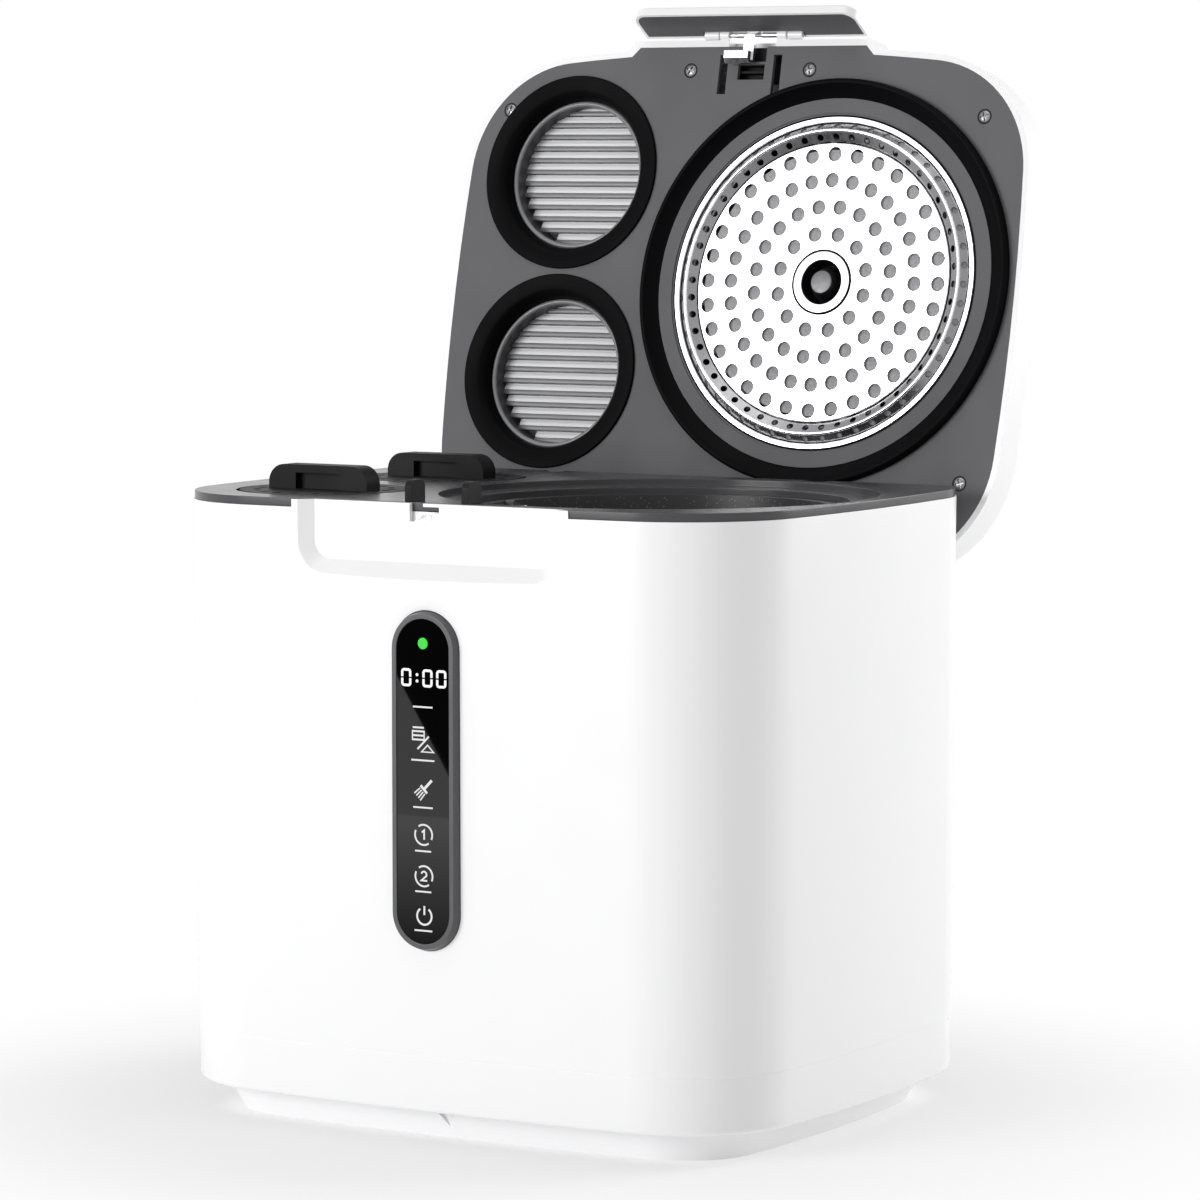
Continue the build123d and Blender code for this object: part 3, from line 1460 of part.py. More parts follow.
tray_wall = 0.8
tray_outer = 83.5
tray_floor = -6.0
band_inner = 77.2
band_outer = 78.4
band_top = 2.5
band_holes = 70
disc_radius = 74.0
disc_face = -2.0
disc_thickness = 1.0
knob_radius = 16.5
with BuildPart() as steam_tray:
    add(lid_ring(bucket_x, bucket_v, [
        (tray_rim, 0),
        (tray_rim, tray_wall),
        (tray_outer, tray_wall),
        (tray_outer, tray_floor),
        (band_outer, tray_floor),
        (band_outer, band_top),
        (band_outer + 0.5, band_top + 0.6),
        (band_outer + 0.2, band_top + 1.3),
        (band_inner - 0.2, band_top + 1.3),
        (band_inner - 0.5, band_top + 0.6),
        (band_inner, band_top),
        (band_inner, tray_floor),
        (disc_radius - 3, tray_floor),
        (disc_radius - 3, tray_floor - tray_wall),
        (tray_outer + tray_wall, tray_floor - tray_wall),
        (tray_outer + tray_wall, 0),
    ]))
    for k in range(band_holes):
        turn = radians(k * 360 / band_holes)
        hole_plane = Plane(
            origin=lid_plane.from_local_coords(
                Vector(bucket_x, bucket_v, (tray_floor + band_top) / 2)
            ),
            x_dir=lid_plane.z_dir,
            z_dir=lid_plane.x_dir * cos(turn) + lid_plane.y_dir * sin(turn),
        )
        with BuildSketch(hole_plane.offset(band_inner - 2)):
            SlotOverall(4.6, 3)
        extrude(amount=4, mode=Mode.SUBTRACT)
write_piece(steam_tray, "steam_tray")

hole_rings = ((25.7, 12), (39.5, 20), (53.4, 28), (67.6, 32))
disc_hole = 3.5
with BuildPart() as filter_disc:
    add(lid_ring(bucket_x, bucket_v, [
        (9, disc_face - disc_thickness),
        (9, disc_face),
        (disc_radius - 0.8, disc_face),
        (disc_radius, disc_face - 0.8),
        (disc_radius, tray_floor),
        (disc_radius - disc_thickness, tray_floor),
        (disc_radius - disc_thickness, disc_face - disc_thickness),
    ]))
    with BuildSketch(lid_plane.offset(disc_face)):
        with Locations((bucket_x, bucket_v)):
            for ring, holes in hole_rings:
                with PolarLocations(ring, holes):
                    Circle(disc_hole)
    extrude(amount=-disc_thickness, mode=Mode.SUBTRACT)
write_piece(filter_disc, "filter_disc")

inside_w = -(lid_thickness - lid_skin)
with BuildPart() as hub_knob:
    add(lid_ring(bucket_x, bucket_v, [
        (0, inside_w),
        (8.7, inside_w),
        (8.7, disc_face),
        (knob_radius, disc_face),
        (knob_radius, disc_face + 1.4),
        (knob_radius - 1.6, disc_face + 2.6),
        (11.6, disc_face + 2.6),
        (10.8, disc_face + 1.6),
        (10.8, disc_face + 0.4),
        (5.5, disc_face + 0.4),
        (5.5, disc_face + 2.2),
        (4.2, disc_face + 3.4),
        (0, disc_face + 3.4),
    ]))
write_piece(hub_knob, "hub_knob")

# --- filter port seals and grilles -----------------------------------------------------------
port_bore = 40.0
with BuildPart() as port_seals:
    for v in filter_vs:
        add(lid_ring(filter_x, v, [
            (port_bore, -7),
            (port_bore, -6),
            (port_seal_inner - 0.6, 1.2),
            (port_seal_inner + 0.9, 1.2),
            (port_seal_inner + 0.9, 0),
            (port_seal_inner, 0),
            (port_seal_inner, -liner_thickness),
            (port_seal_inner - 1.2, -liner_thickness),
            (port_bore + 2, -8),
            (port_bore, -8),
        ]))
write_piece(port_seals, "port_seals")

slat_pitch = 6.1
slat_tilt = 35.0
slat_length = 9.0
slat_thickness = 1.2
grille_bore = 37.0
slat_w = -16.0
with BuildPart() as port_grilles:
    for v in filter_vs:
        add(lid_ring(filter_x, v, [
            (grille_bore, inside_w),
            (grille_bore + 2, inside_w),
            (grille_bore + 2, -8),
            (port_bore, -8),
            (port_bore, -7.2),
            (port_bore - 1.0, -6.4),
            (grille_bore + 0.6, -6.4),
            (grille_bore, -7),
        ]))
        for k in range(12):
            across = (k - 5.5) * slat_pitch
            half = sqrt((grille_bore + 1) ** 2 - (abs(across) + 3) ** 2)
            slat_plane = Plane(
                origin=lid_plane.from_local_coords(Vector(filter_x, v + across, slat_w)),
                x_dir=lid_plane.x_dir,
                z_dir=lid_plane.y_dir * cos(radians(slat_tilt))
                + lid_plane.z_dir * sin(radians(slat_tilt)),
            )
            with BuildSketch(slat_plane):
                Rectangle(2 * half, slat_length)
            extrude(amount=slat_thickness / 2, both=True)
write_piece(port_grilles, "port_grilles")

# --- hinge arms ---------------------------------------------------------------------------------
with BuildPart() as hinge_arms:
    for side in (-1, 1):
        arm_plane = Plane(
            origin=lid_plane.from_local_coords(
                Vector(side * hinge_x - arm_width / 2, hinge_v, liner_offset)
            ),
            x_dir=lid_plane.y_dir,
            z_dir=(1, 0, 0),
        )
        with BuildSketch(arm_plane):
            Circle(hinge_boss)
            with Locations((0, -liner_offset / 2)):
                Rectangle(2 * hinge_boss, liner_offset)
            Circle(pin_radius + bore_gap, mode=Mode.SUBTRACT)
        extrude(amount=arm_width)
write_piece(hinge_arms, "hinge_arms")

# --- latch flap, its pins and its hook -----------------------------------------------------------
tilt = radians(flap_tilt)
flap_bore = flap_pin + bore_gap
flap_plane = Plane(
    origin=lid_plane.from_local_coords(Vector(0, flap_axis_v, flap_axis_w)),
    x_dir=(1, 0, 0),
    z_dir=lid_plane.z_dir * sin(tilt) - lid_plane.y_dir * cos(tilt),
)
flap_knuckle = 2.4
flap_knuckle_in = 20.6
flap_knuckle_out = 29.0
pin_end = 29.6
pad_depth = 1.5
pad_margin = 1.6


def along_flap_axis(start):
    # A plane square to the flap's axis, its x up the liner and its y out of it.
    return Plane(
        origin=lid_plane.from_local_coords(Vector(start, flap_axis_v, flap_axis_w)),
        x_dir=lid_plane.y_dir,
        z_dir=(1, 0, 0),
    )


with BuildPart() as flap_shell:
    with BuildSketch(flap_plane):
        with Locations((0, flap_length / 2 - flap_root)):
            Rectangle(2 * flap_half, flap_length)
        fillet(vertices().group_by(Axis.Y)[-1], flap_corner)
    extrude(amount=-flap_thickness)
    flap_outside = flap_shell.faces().sort_by(Axis((0, 0, 0), flap_plane.z_dir))[0]
    fillet(flap_outside.edges(), 1.6)
    # pocket behind for the dark cover
    with BuildSketch(flap_plane):
        with Locations((0, flap_length / 2 - flap_root)):
            Rectangle(2 * (flap_half - pad_margin), flap_length - 2 * pad_margin)
        fillet(vertices().group_by(Axis.Y)[-1], flap_corner - pad_margin)
    extrude(amount=-pad_depth, mode=Mode.SUBTRACT)
    # notches for the lid's knuckles and the hook
    with BuildSketch(flap_plane.offset(5)):
        with Locations((-knuckle_x, 0), (knuckle_x, 0)):
            Rectangle(knuckle_length + 0.8, 2 * 3.4)
        Rectangle(8.4, 2 * 3.4)
    extrude(amount=-flap_thickness - 10, mode=Mode.SUBTRACT)
    for side in (-1, 1):
        middle = side * (flap_knuckle_in + flap_knuckle_out) / 2
        length = flap_knuckle_out - flap_knuckle_in
        with BuildSketch(along_flap_axis(middle - length / 2)):
            Circle(flap_knuckle)
        extrude(amount=length)
    with BuildSketch(along_flap_axis(-pin_end - fit)):
        Circle(flap_bore)
    extrude(amount=2 * (pin_end + fit), mode=Mode.SUBTRACT)
write_piece(flap_shell, "flap_shell")

with BuildPart() as flap_pad:
    with BuildSketch(flap_plane):
        with Locations((0, flap_length / 2 - flap_root)):
            Rectangle(2 * (flap_half - pad_margin), flap_length - 2 * pad_margin)
        fillet(vertices().group_by(Axis.Y)[-1], flap_corner - pad_margin)
        with Locations((0, 0)):
            Rectangle(2 * (flap_knuckle_out + 1), 2 * 3.4, mode=Mode.SUBTRACT)
    extrude(amount=-pad_depth)
write_piece(flap_pad, "flap_pad")

with BuildPart() as flap_pin_rod:
    with BuildSketch(along_flap_axis(-pin_end)):
        Circle(flap_pin)
    extrude(amount=2 * pin_end)
write_piece(flap_pin_rod, "flap_pin")

hook_half = 3.2
hook_arm_low = 2.7
hook_arm_high = 5.4
arm_end_v = -14.3  # the arm stops in front of the slot and only the tooth goes in
foot_low_v = -16.5
foot_high_v = -10.0
foot_top = 9.7
foot_left = -12.0
foot_right = 2.5
with BuildPart() as latch_hook:
    with BuildSketch(along_flap_axis(-hook_half)):
        Circle(flap_knuckle)
        with BuildLine():
            Polyline(
                (flap_knuckle - 0.2, 0),
                (flap_knuckle - 1.8, 3.2),
                (-0.6, hook_arm_high),
                (arm_end_v, hook_arm_high),
                (arm_end_v, hook_arm_low),
                (-flap_knuckle - 2.2, hook_arm_low),
                (-flap_knuckle, 0),
                close=True,
            )
        make_face()
        Circle(flap_bore, mode=Mode.SUBTRACT)
    extrude(amount=2 * hook_half)
    with BuildSketch(along_flap_axis(foot_left)):
        with BuildLine():
            Polyline(
                (foot_low_v, hook_arm_high),
                (foot_low_v, foot_top - 2.5),
                (foot_low_v + 2.5, foot_top),
                (foot_high_v, foot_top),
                (foot_high_v, hook_arm_high),
                close=True,
            )
        make_face()
    extrude(amount=foot_right - foot_left)
    with BuildSketch(along_flap_axis(foot_left)):
        with Locations(((arm_end_v + foot_high_v) / 2, (hook_arm_low + hook_arm_high) / 2)):
            Rectangle(foot_high_v - arm_end_v, hook_arm_high - hook_arm_low)
    extrude(amount=foot_right - foot_left)
write_piece(latch_hook, "latch_hook")

# --- case screws under the plinth -------------------------------------------------------------
with BuildPart() as case_screws:
    with BuildSketch(Plane.XY):
        with Locations(*case_screw_points):
            Circle(screw_head)
    extrude(amount=screw_depth)
    with BuildSketch(Plane.XY):
        with Locations(*case_screw_points):
            Rectangle(5, 1.2)
            Rectangle(1.2, 5)
    extrude(amount=1.2, mode=Mode.SUBTRACT)
write_piece(case_screws, "case_screws")
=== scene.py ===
import json
import math

import bmesh
import bpy
from mathutils import Matrix, Vector


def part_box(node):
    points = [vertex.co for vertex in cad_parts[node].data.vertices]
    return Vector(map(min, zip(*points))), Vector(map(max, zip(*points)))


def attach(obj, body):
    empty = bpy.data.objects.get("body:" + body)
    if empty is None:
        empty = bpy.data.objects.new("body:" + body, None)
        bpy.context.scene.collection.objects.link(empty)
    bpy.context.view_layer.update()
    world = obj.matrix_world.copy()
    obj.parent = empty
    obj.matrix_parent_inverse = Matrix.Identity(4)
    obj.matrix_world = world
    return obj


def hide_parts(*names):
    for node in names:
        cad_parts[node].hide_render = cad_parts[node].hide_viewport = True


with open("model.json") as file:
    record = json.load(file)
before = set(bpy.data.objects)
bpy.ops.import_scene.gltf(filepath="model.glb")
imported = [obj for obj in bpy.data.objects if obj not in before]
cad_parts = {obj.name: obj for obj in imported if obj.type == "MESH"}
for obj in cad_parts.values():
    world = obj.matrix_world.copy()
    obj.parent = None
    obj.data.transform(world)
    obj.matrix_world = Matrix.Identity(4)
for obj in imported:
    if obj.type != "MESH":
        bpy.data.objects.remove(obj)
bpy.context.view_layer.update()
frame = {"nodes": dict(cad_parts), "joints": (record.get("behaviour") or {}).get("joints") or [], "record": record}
mm = 0.001
print("frame loaded:", len(frame["nodes"]), "nodes")

# The lid's own frame: u to the right, v up the liner from its rear edge, w out of the liner.
lidPlace = {"lean": 12.14, "hingeUp": 29.05, "linerOut": 18.5}
bucketPlace = {"x": 56.3, "onLid": 151.35}
filterPlace = {"x": -102.0, "front": -72.0, "rear": 35.0}


def jointPlace(name):
    # Where a joint stands, in millimetres.
    joint = next(j for j in frame["joints"] if j["name"] == name)
    return Vector(joint["pos_m"]) / mm


lean = math.radians(lidPlace["lean"])
hinge = jointPlace("lid_hinge")
lidUp = Vector((0, math.sin(lean), math.cos(lean)))
lidOut = Vector((0, -math.cos(lean), math.sin(lean)))
lidOrigin = hinge - lidUp * lidPlace["hingeUp"] - lidOut * lidPlace["linerOut"]
lidAxes = Matrix((Vector((1, 0, 0)), lidUp, lidOut)).transposed()
lidMatrix = Matrix.Translation(lidOrigin) @ lidAxes.to_4x4()


def lidSpot(u, v, w=0.0):
    # Local axes at a point of the lid, with the upright one out of the liner.
    return lidMatrix @ Matrix.Translation((u, v, w))


# Materials, each from what the real surface is made of and how, save a few that also carry painted light, shade or
# reflection, as their comments say.
def hexColor(value):
    # sRGB hex to linear, with alpha 1
    parts = [int(value[i:i + 2], 16) / 255 for i in (1, 3, 5)]
    return [c / 12.92 if c <= 0.04045 else ((c + 0.055) / 1.055) ** 2.4 for c in parts] + [1.0]


def addNode(tree, kind, inputs=None, **settings):
    # Adds a node, sets what is given and links any socket given as an input.
    node = tree.nodes.new(kind)
    for key, value in settings.items():
        setattr(node, key, value)
    for key, value in (inputs or {}).items():
        if isinstance(value, bpy.types.NodeSocket):
            tree.links.new(value, node.inputs[key])
        else:
            node.inputs[key].default_value = value
    return node


def startMaterial(name):
    # An empty material and its tree.
    material = bpy.data.materials.new(name)
    material.use_nodes = True
    material.node_tree.nodes.clear()
    return material, material.node_tree


def surface(tree, inputs, bumps=None, depth=0.0, clouds=None, gloss=(0.3, 0.3)):
    # Ends a material in its shader, with bumps of a depth in millimetres and a gloss that
    # runs between two levels, where noise is given for them.
    inputs = dict(inputs)
    if bumps:
        relief = addNode(tree, "ShaderNodeBump", {
            "Height": bumps.outputs["Fac"], "Strength": 1.0, "Distance": depth * mm,
        })
        inputs["Normal"] = relief.outputs["Normal"]
    if clouds:
        level = addNode(tree, "ShaderNodeMapRange", {
            "Value": clouds.outputs["Fac"], "From Min": 0.3, "From Max": 0.7,
            "To Min": gloss[0], "To Max": gloss[1],
        })
        inputs["Roughness"] = level.outputs["Result"]
    shader = addNode(tree, "ShaderNodeBsdfPrincipled", inputs)
    addNode(tree, "ShaderNodeOutputMaterial", {"Surface": shader.outputs["BSDF"]})


def grain(tree, size, detail=2.0):
    # Noise with bumps about this many millimetres across, in the object's own place.
    coords = addNode(tree, "ShaderNodeTexCoord")
    return addNode(tree, "ShaderNodeTexNoise", {
        "Vector": coords.outputs["Object"], "Scale": 1 / (size * mm), "Detail": detail,
    })


def plastic(name, color, roughness, texture, depth, ior=1.49, vary=0.06, shine=0.5):
    # Moulded thermoplastic: the tool's texture shows as fine bumps and a slightly uneven gloss.
    material, tree = startMaterial(name)
    surface(tree, {
        "Base Color": hexColor(color), "IOR": ior, "Specular IOR Level": shine,
    }, grain(tree, texture), depth, grain(tree, 35.0), (roughness - vary, roughness + vary))
    return material


def whiteAbs():
    # Injection-moulded ABS in a polished tool: even white, soft wide highlights.
    return plastic("glossWhiteAbs", "#F2F2F3", 0.24, 3.0, 0.004, vary=0.03)


def linerAbs():
    # ABS from a spark-eroded tool: dark grey with a fine matt grain.
    return plastic("sparkErodedGreyAbs", "#5E5E60", 0.55, 0.7, 0.02, shine=0.25)


def deckAbs():
    # Polished dark ABS: the deck mirrors what stands around it.
    return plastic("polishedGreyAbs", "#48484A", 0.24, 3.0, 0.003, vary=0.03, shine=0.3)


def softBlackAbs():
    # Matt near-black ABS of the handles and guides.
    return plastic("mattBlackAbs", "#141416", 0.5, 0.8, 0.02, shine=0.14)


def bezelAbs():
    # Satin grey ABS of the panel's frame.
    return plastic("satinBezelAbs", "#4C4C4E", 0.34, 1.2, 0.008)


def silicone():
    # Moulded silicone rubber: near black, soft broad sheen.
    return plastic("blackSilicone", "#08080A", 0.5, 1.6, 0.012, ior=1.41, shine=0.05)


def footRubber():
    # Cut rubber pads, dull and slightly grainy.
    return plastic("greyRubberPad", "#6A6A6A", 0.7, 0.8, 0.04)


def slatAbs():
    # Grey ABS of the grilles' bars, darker than the vanes of the same plastic: painted shade on the bars' front
    # faces.
    return plastic("barGreyAbsPaintedShade", "#727274", 0.34, 1.2, 0.01)


def vanePaintedLightAbs():
    # The grilles' ABS made much paler on the vanes behind the bars: painted light on their upper faces.
    return plastic("vaneAbsPaintedLight", "#E4E4E6", 0.45, 1.2, 0.002)


def beadAbs():
    # Grey ABS of the bead round each grille.
    return plastic("greyBeadAbs", "#7C7C7E", 0.3, 1.2, 0.01)


def nylon():
    # Undyed gear nylon: warm white and slightly waxy.
    return plastic("naturalNylon", "#D9D6C6", 0.4, 1.5, 0.02)


def componentResin():
    # Black resin cases of the board's parts.
    return plastic("potResin", "#1E1E1F", 0.45, 1.0, 0.02)


def metal(name, color, roughness, texture, depth, vary=0.05):
    # Bare metal: rolling or turning leaves fine relief, and its gloss varies with it.
    material, tree = startMaterial(name)
    fine = grain(tree, texture, 4.0)
    surface(tree, {
        "Base Color": hexColor(color), "Metallic": 1.0,
    }, fine, depth, fine, (roughness - vary, roughness + vary))
    return material


def stainless():
    # Pressed 304 stainless sheet with a bright annealed face.
    return metal("brightStainless", "#EDEDEE", 0.16, 6.0, 0.006)


def satinStainless():
    # The same sheet where it was left satin, so the light spreads.
    return metal("satinStainless", "#F4F4F5", 0.34, 2.0, 0.004)


def channelSteel():
    # The cover's channel, in a steel darkened as a painted reflection of dark surroundings.
    return metal("channelStainlessPaintedReflection", "#38383A", 0.18, 3.0, 0.006)


def bandSteel():
    # The cover's two perforated bands, in a steel darkened as a painted reflection of dark surroundings.
    return metal("bandSteelPaintedReflection", "#8E8E90", 0.28, 3.0, 0.006)


def studSteel():
    # The turned stud in the cover's hub.
    return metal("turnedStudSteel", "#5E5E60", 0.42, 3.0, 0.002)


def zincSteel():
    # Bright zinc-plated steel of screws, pins and the hook.
    return metal("brightZincSteel", "#DADADC", 0.2, 2.0, 0.006)


def screwSteel():
    # Duller steel of the small screws.
    return metal("dullScrewSteel", "#868688", 0.36, 1.2, 0.01)


def padAbs():
    # Satin dark grey of the flap's inner face.
    return plastic("satinDarkAbs", "#525254", 0.4, 1.0, 0.01, shine=0.35)


def castAluminium():
    # Die-cast aluminium, dull and fine-grained.
    return metal("castAluminium", "#B9BABC", 0.42, 1.4, 0.04)


def bronzeBush():
    # Sintered bronze: brown-gold with open pores.
    return metal("sinteredBronze", "#B08A52", 0.4, 0.9, 0.02)


def nonStick():
    # Speckled non-stick coat on aluminium.
    material, tree = startMaterial("speckledNonStick")
    coords = addNode(tree, "ShaderNodeTexCoord")
    specks = addNode(tree, "ShaderNodeTexVoronoi", {
        "Vector": coords.outputs["Object"], "Scale": 1 / (2.2 * mm),
    })
    speck = addNode(tree, "ShaderNodeMapRange", {
        "Value": specks.outputs["Distance"], "From Min": 0.12, "From Max": 0.2,
        "To Min": 1.0, "To Max": 0.0,
    })
    tone = addNode(tree, "ShaderNodeMix", {
        "Factor": speck.outputs["Result"], 6: hexColor("#2C2C2E"), 7: hexColor("#6E6E70"),
    }, data_type="RGBA")
    surface(tree, {"Base Color": tone.outputs[2], "Roughness": 0.36}, grain(tree, 1.2), 0.02)
    return material


def circuitBoard():
    # Green solder mask over copper tracks.
    material, tree = startMaterial("solderMask")
    coords = addNode(tree, "ShaderNodeTexCoord")
    tracks = addNode(tree, "ShaderNodeTexBrick", {
        "Vector": coords.outputs["Object"], "Scale": 1 / (16 * mm), "Mortar Size": 0.03,
        "Color1": hexColor("#0F4A22"), "Color2": hexColor("#135A2A"),
        "Mortar": hexColor("#2C7A3C"),
    })
    surface(tree, {"Base Color": tracks.outputs["Color"], "Roughness": 0.3})
    return material


def blackGlass():
    # Back-printed glass: deep black under a polished face.
    material, tree = startMaterial("backPrintedGlass")
    cloudy = grain(tree, 18.0)
    gloss = addNode(tree, "ShaderNodeMapRange", {
        "Value": cloudy.outputs["Fac"], "To Min": 0.008, "To Max": 0.02,
    })
    surface(tree, {
        "Base Color": hexColor("#060607"), "Roughness": gloss.outputs["Result"], "IOR": 1.52,
    })
    return material


def filterFelt():
    # Pressed grey filter felt behind the steel cover.
    material, tree = startMaterial("greyFilterFelt")
    fibres = grain(tree, 0.9, 6.0)
    tone = addNode(tree, "ShaderNodeMapRange", {
        "Value": fibres.outputs["Fac"], "From Min": 0.3, "From Max": 0.7,
    })
    color = addNode(tree, "ShaderNodeMix", {
        "Factor": tone.outputs["Result"], 6: hexColor("#929294"), 7: hexColor("#B4B4B6"),
    }, data_type="RGBA")
    surface(tree, {"Base Color": color.outputs[2], "Roughness": 0.9}, fibres, 0.2)
    return material


def glowing(name, color, strength):
    # Light from behind, faintly uneven as it comes through the print.
    material, tree = startMaterial(name)
    fine = grain(tree, 0.8)
    level = addNode(tree, "ShaderNodeMapRange", {
        "Value": fine.outputs["Fac"], "To Min": strength * 0.92, "To Max": strength,
    })
    surface(tree, {
        "Base Color": hexColor("#101010"), "Roughness": 0.3,
        "Emission Color": hexColor(color), "Emission Strength": level.outputs["Result"],
    })
    return material


finishes = {
    "white_abs": whiteAbs(), "liner_grey": linerAbs(), "deck_grey": deckAbs(),
    "dark_plastic": softBlackAbs(), "bezel_grey": bezelAbs(), "black_glass": blackGlass(),
    "led_green": glowing("greenLightPipe", "#0CDE12", 1.0), "seal_rubber": silicone(),
    "foot_rubber": footRubber(), "steel": stainless(), "bright_steel": zincSteel(),
    "pot_aluminium": nonStick(), "heater_aluminium": castAluminium(),
    "circuit_board": circuitBoard(), "components": componentResin(), "gear_nylon": nylon(),
    "bronze": bronzeBush(), "grille_grey": slatAbs(), "satinSteel": satinStainless(),
    "screwSteel": screwSteel(), "channelSteel": channelSteel(), "bandSteel": bandSteel(),
    "studSteel": studSteel(), "filterFelt": filterFelt(), "beadGrey": beadAbs(),
    "vaneGreyPaintedLight": vanePaintedLightAbs(), "flapPad": padAbs(),
}
print("materials made:", len(finishes))


# Mesh helpers.
def place(piece, body, *nodes, finish=None, slot=None):
    # Hangs a finished piece on its body, in place of any CAD nodes it stands for.
    if finish is not None:
        piece.data.materials.clear()
        piece.data.materials.append(finish)
    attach(piece, body)
    if nodes:
        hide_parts(*nodes)
    return piece


def linked(name, data):
    # A new object in the scene.
    made = bpy.data.objects.new(name, data)
    bpy.context.scene.collection.objects.link(made)
    return made


def bodyOf(node):
    groups = frame["record"]["behaviour"]["bodies"]
    return next(body for body, members in groups.items() if node in members)


def slotOf(node):
    return next(s["material_slot"] for s in frame["record"]["subparts"] if s["node"] == node)


def applyModifiers(piece):
    # Keeps what the modifiers made as a plain mesh.
    graph = bpy.context.evaluated_depsgraph_get()
    mesh = bpy.data.meshes.new_from_object(piece.evaluated_get(graph))
    piece.modifiers.clear()
    piece.data = mesh


def shadeByAngle(mesh, angle):
    # Smooth shading that breaks at edges sharper than the angle.
    work = bmesh.new()
    work.from_mesh(mesh)
    limit = math.radians(angle)
    for face in work.faces:
        face.smooth = True
    for edge in work.edges:
        edge.smooth = len(edge.link_faces) == 2 and edge.calc_face_angle(math.pi) < limit
    work.to_mesh(mesh)
    work.free()


refining = {
    "mergeWithin": 0.002, "flatAngle": 0.2, "smoothAngle": 30, "steps": 2,
    "easing": {
        "outer_shell": 0.5, "deck_frame": 0.4, "lid_liner": 0.25, "lid_guide_fins": 0.4,
        "front_filter_cap": 0.5, "rear_filter_cap": 0.5, "panel_bezel": 0.3, "flap_shell": 0.3,
        "flap_pad": 0.2, "latch_hook": 0.3, "hinge_arms": 0.6, "rear_vent_grille": 0.3,
        "power_inlet": 0.3, "latch_block": 0.2,
    },  # how far each node's edges are rounded, in millimetres
    "remade": {
        "filter_disc", "steam_tray", "hub_knob", "port_seals", "port_grilles", "lid_screws",
        "bucket_seal",
    },  # these nodes get pieces of their own below
}


def refined(node, easing):
    # A copy of a CAD node with its doubles merged, its edges eased and its curves smooth.
    mesh = frame["nodes"][node].data.copy()
    work = bmesh.new()
    work.from_mesh(mesh)
    bmesh.ops.remove_doubles(work, verts=work.verts, dist=refining["mergeWithin"] * mm)
    if easing:
        bmesh.ops.dissolve_limit(
            work, angle_limit=math.radians(refining["flatAngle"]), verts=work.verts,
            edges=work.edges, delimit={"NORMAL"},
        )
    work.to_mesh(mesh)
    work.free()
    piece = linked(node + ".finished", mesh)
    if easing:
        eased = piece.modifiers.new("easedEdges", "BEVEL")
        eased.width = easing * mm
        eased.segments = refining["steps"]
        eased.limit_method = "ANGLE"
        eased.angle_limit = math.radians(refining["smoothAngle"])
        eased.use_clamp_overlap = True
        eased.miter_outer = "MITER_ARC"
        applyModifiers(piece)
    shadeByAngle(piece.data, refining["smoothAngle"])
    flatten = piece.modifiers.new("flatFaces", "WEIGHTED_NORMAL")
    flatten.weight = 100
    flatten.keep_sharp = True
    applyModifiers(piece)
    return piece


kept = [node for node in frame["nodes"] if node not in refining["remade"]]
for node in kept:
    slot = slotOf(node)
    finish = finishes["flapPad" if node == "flap_pad" else slot]
    piece = refined(node, refining["easing"].get(node, 0))
    place(piece, bodyOf(node), node, finish=finish, slot=slot)
print("nodes refined:", len(kept))


def newPiece(name, mesh, matrix=None):
    # Links a mesh drawn in millimetres, with its place put into the mesh itself.
    mesh.transform(Matrix.Scale(mm, 4) @ (matrix or Matrix.Identity(4)))
    return linked(name, mesh)


def lathe(name, profile, matrix, steps=144, closed=True, angle=35):
    # Turns (radius, height) points about the local upright axis.
    mesh = bpy.data.meshes.new(name)
    count = len(profile)
    points, faces = [], []
    for i in range(steps):
        turn = 2 * math.pi * i / steps
        points += [(r * math.cos(turn), r * math.sin(turn), h) for r, h in profile]
    last = count if closed else count - 1
    for i in range(steps):
        j = (i + 1) % steps
        for k in range(last):
            m = (k + 1) % count
            faces.append((i * count + k, j * count + k, j * count + m, i * count + m))
    mesh.from_pydata(points, [], faces)
    work = bmesh.new()
    work.from_mesh(mesh)
    bmesh.ops.remove_doubles(work, verts=work.verts, dist=1e-5)
    bmesh.ops.recalc_face_normals(work, faces=work.faces)
    work.to_mesh(mesh)
    work.free()
    shadeByAngle(mesh, angle)
    return newPiece(name, mesh, matrix)


def arcPoints(centre, radius, start, end, steps):
    # Points round part of a circle in a profile, angles in degrees.
    turns = [math.radians(start + (end - start) * k / steps) for k in range(steps + 1)]
    return [(centre[0] + radius * math.cos(t), centre[1] + radius * math.sin(t)) for t in turns]


def joinPieces(name, parts):
    # One object from several, for pieces that the record holds as one node.
    work = bmesh.new()
    for part in parts:
        work.from_mesh(part.data)
        bpy.data.objects.remove(part)
    mesh = bpy.data.meshes.new(name)
    work.to_mesh(mesh)
    work.free()
    return linked(name, mesh)


def newTree(name, inputs):
    # A geometry tree with its named size inputs, and its input and output nodes.
    tree = bpy.data.node_groups.new(name, "GeometryNodeTree")
    tree.interface.new_socket("Geometry", in_out="INPUT", socket_type="NodeSocketGeometry")
    for label, kind, value in inputs:
        socket = tree.interface.new_socket(label, in_out="INPUT", socket_type=kind)
        if value is not None:
            socket.default_value = value
    tree.interface.new_socket("Geometry", in_out="OUTPUT", socket_type="NodeSocketGeometry")
    given = addNode(tree, "NodeGroupInput")
    return tree, given


def endTree(tree, geometry, material):
    # Every tree ends in real geometry with its material set.
    real = addNode(tree, "GeometryNodeRealizeInstances", {"Geometry": geometry})
    painted = addNode(tree, "GeometryNodeSetMaterial", {
        "Geometry": real.outputs["Geometry"], "Material": material,
    })
    addNode(tree, "NodeGroupOutput", {"Geometry": painted.outputs["Geometry"]})


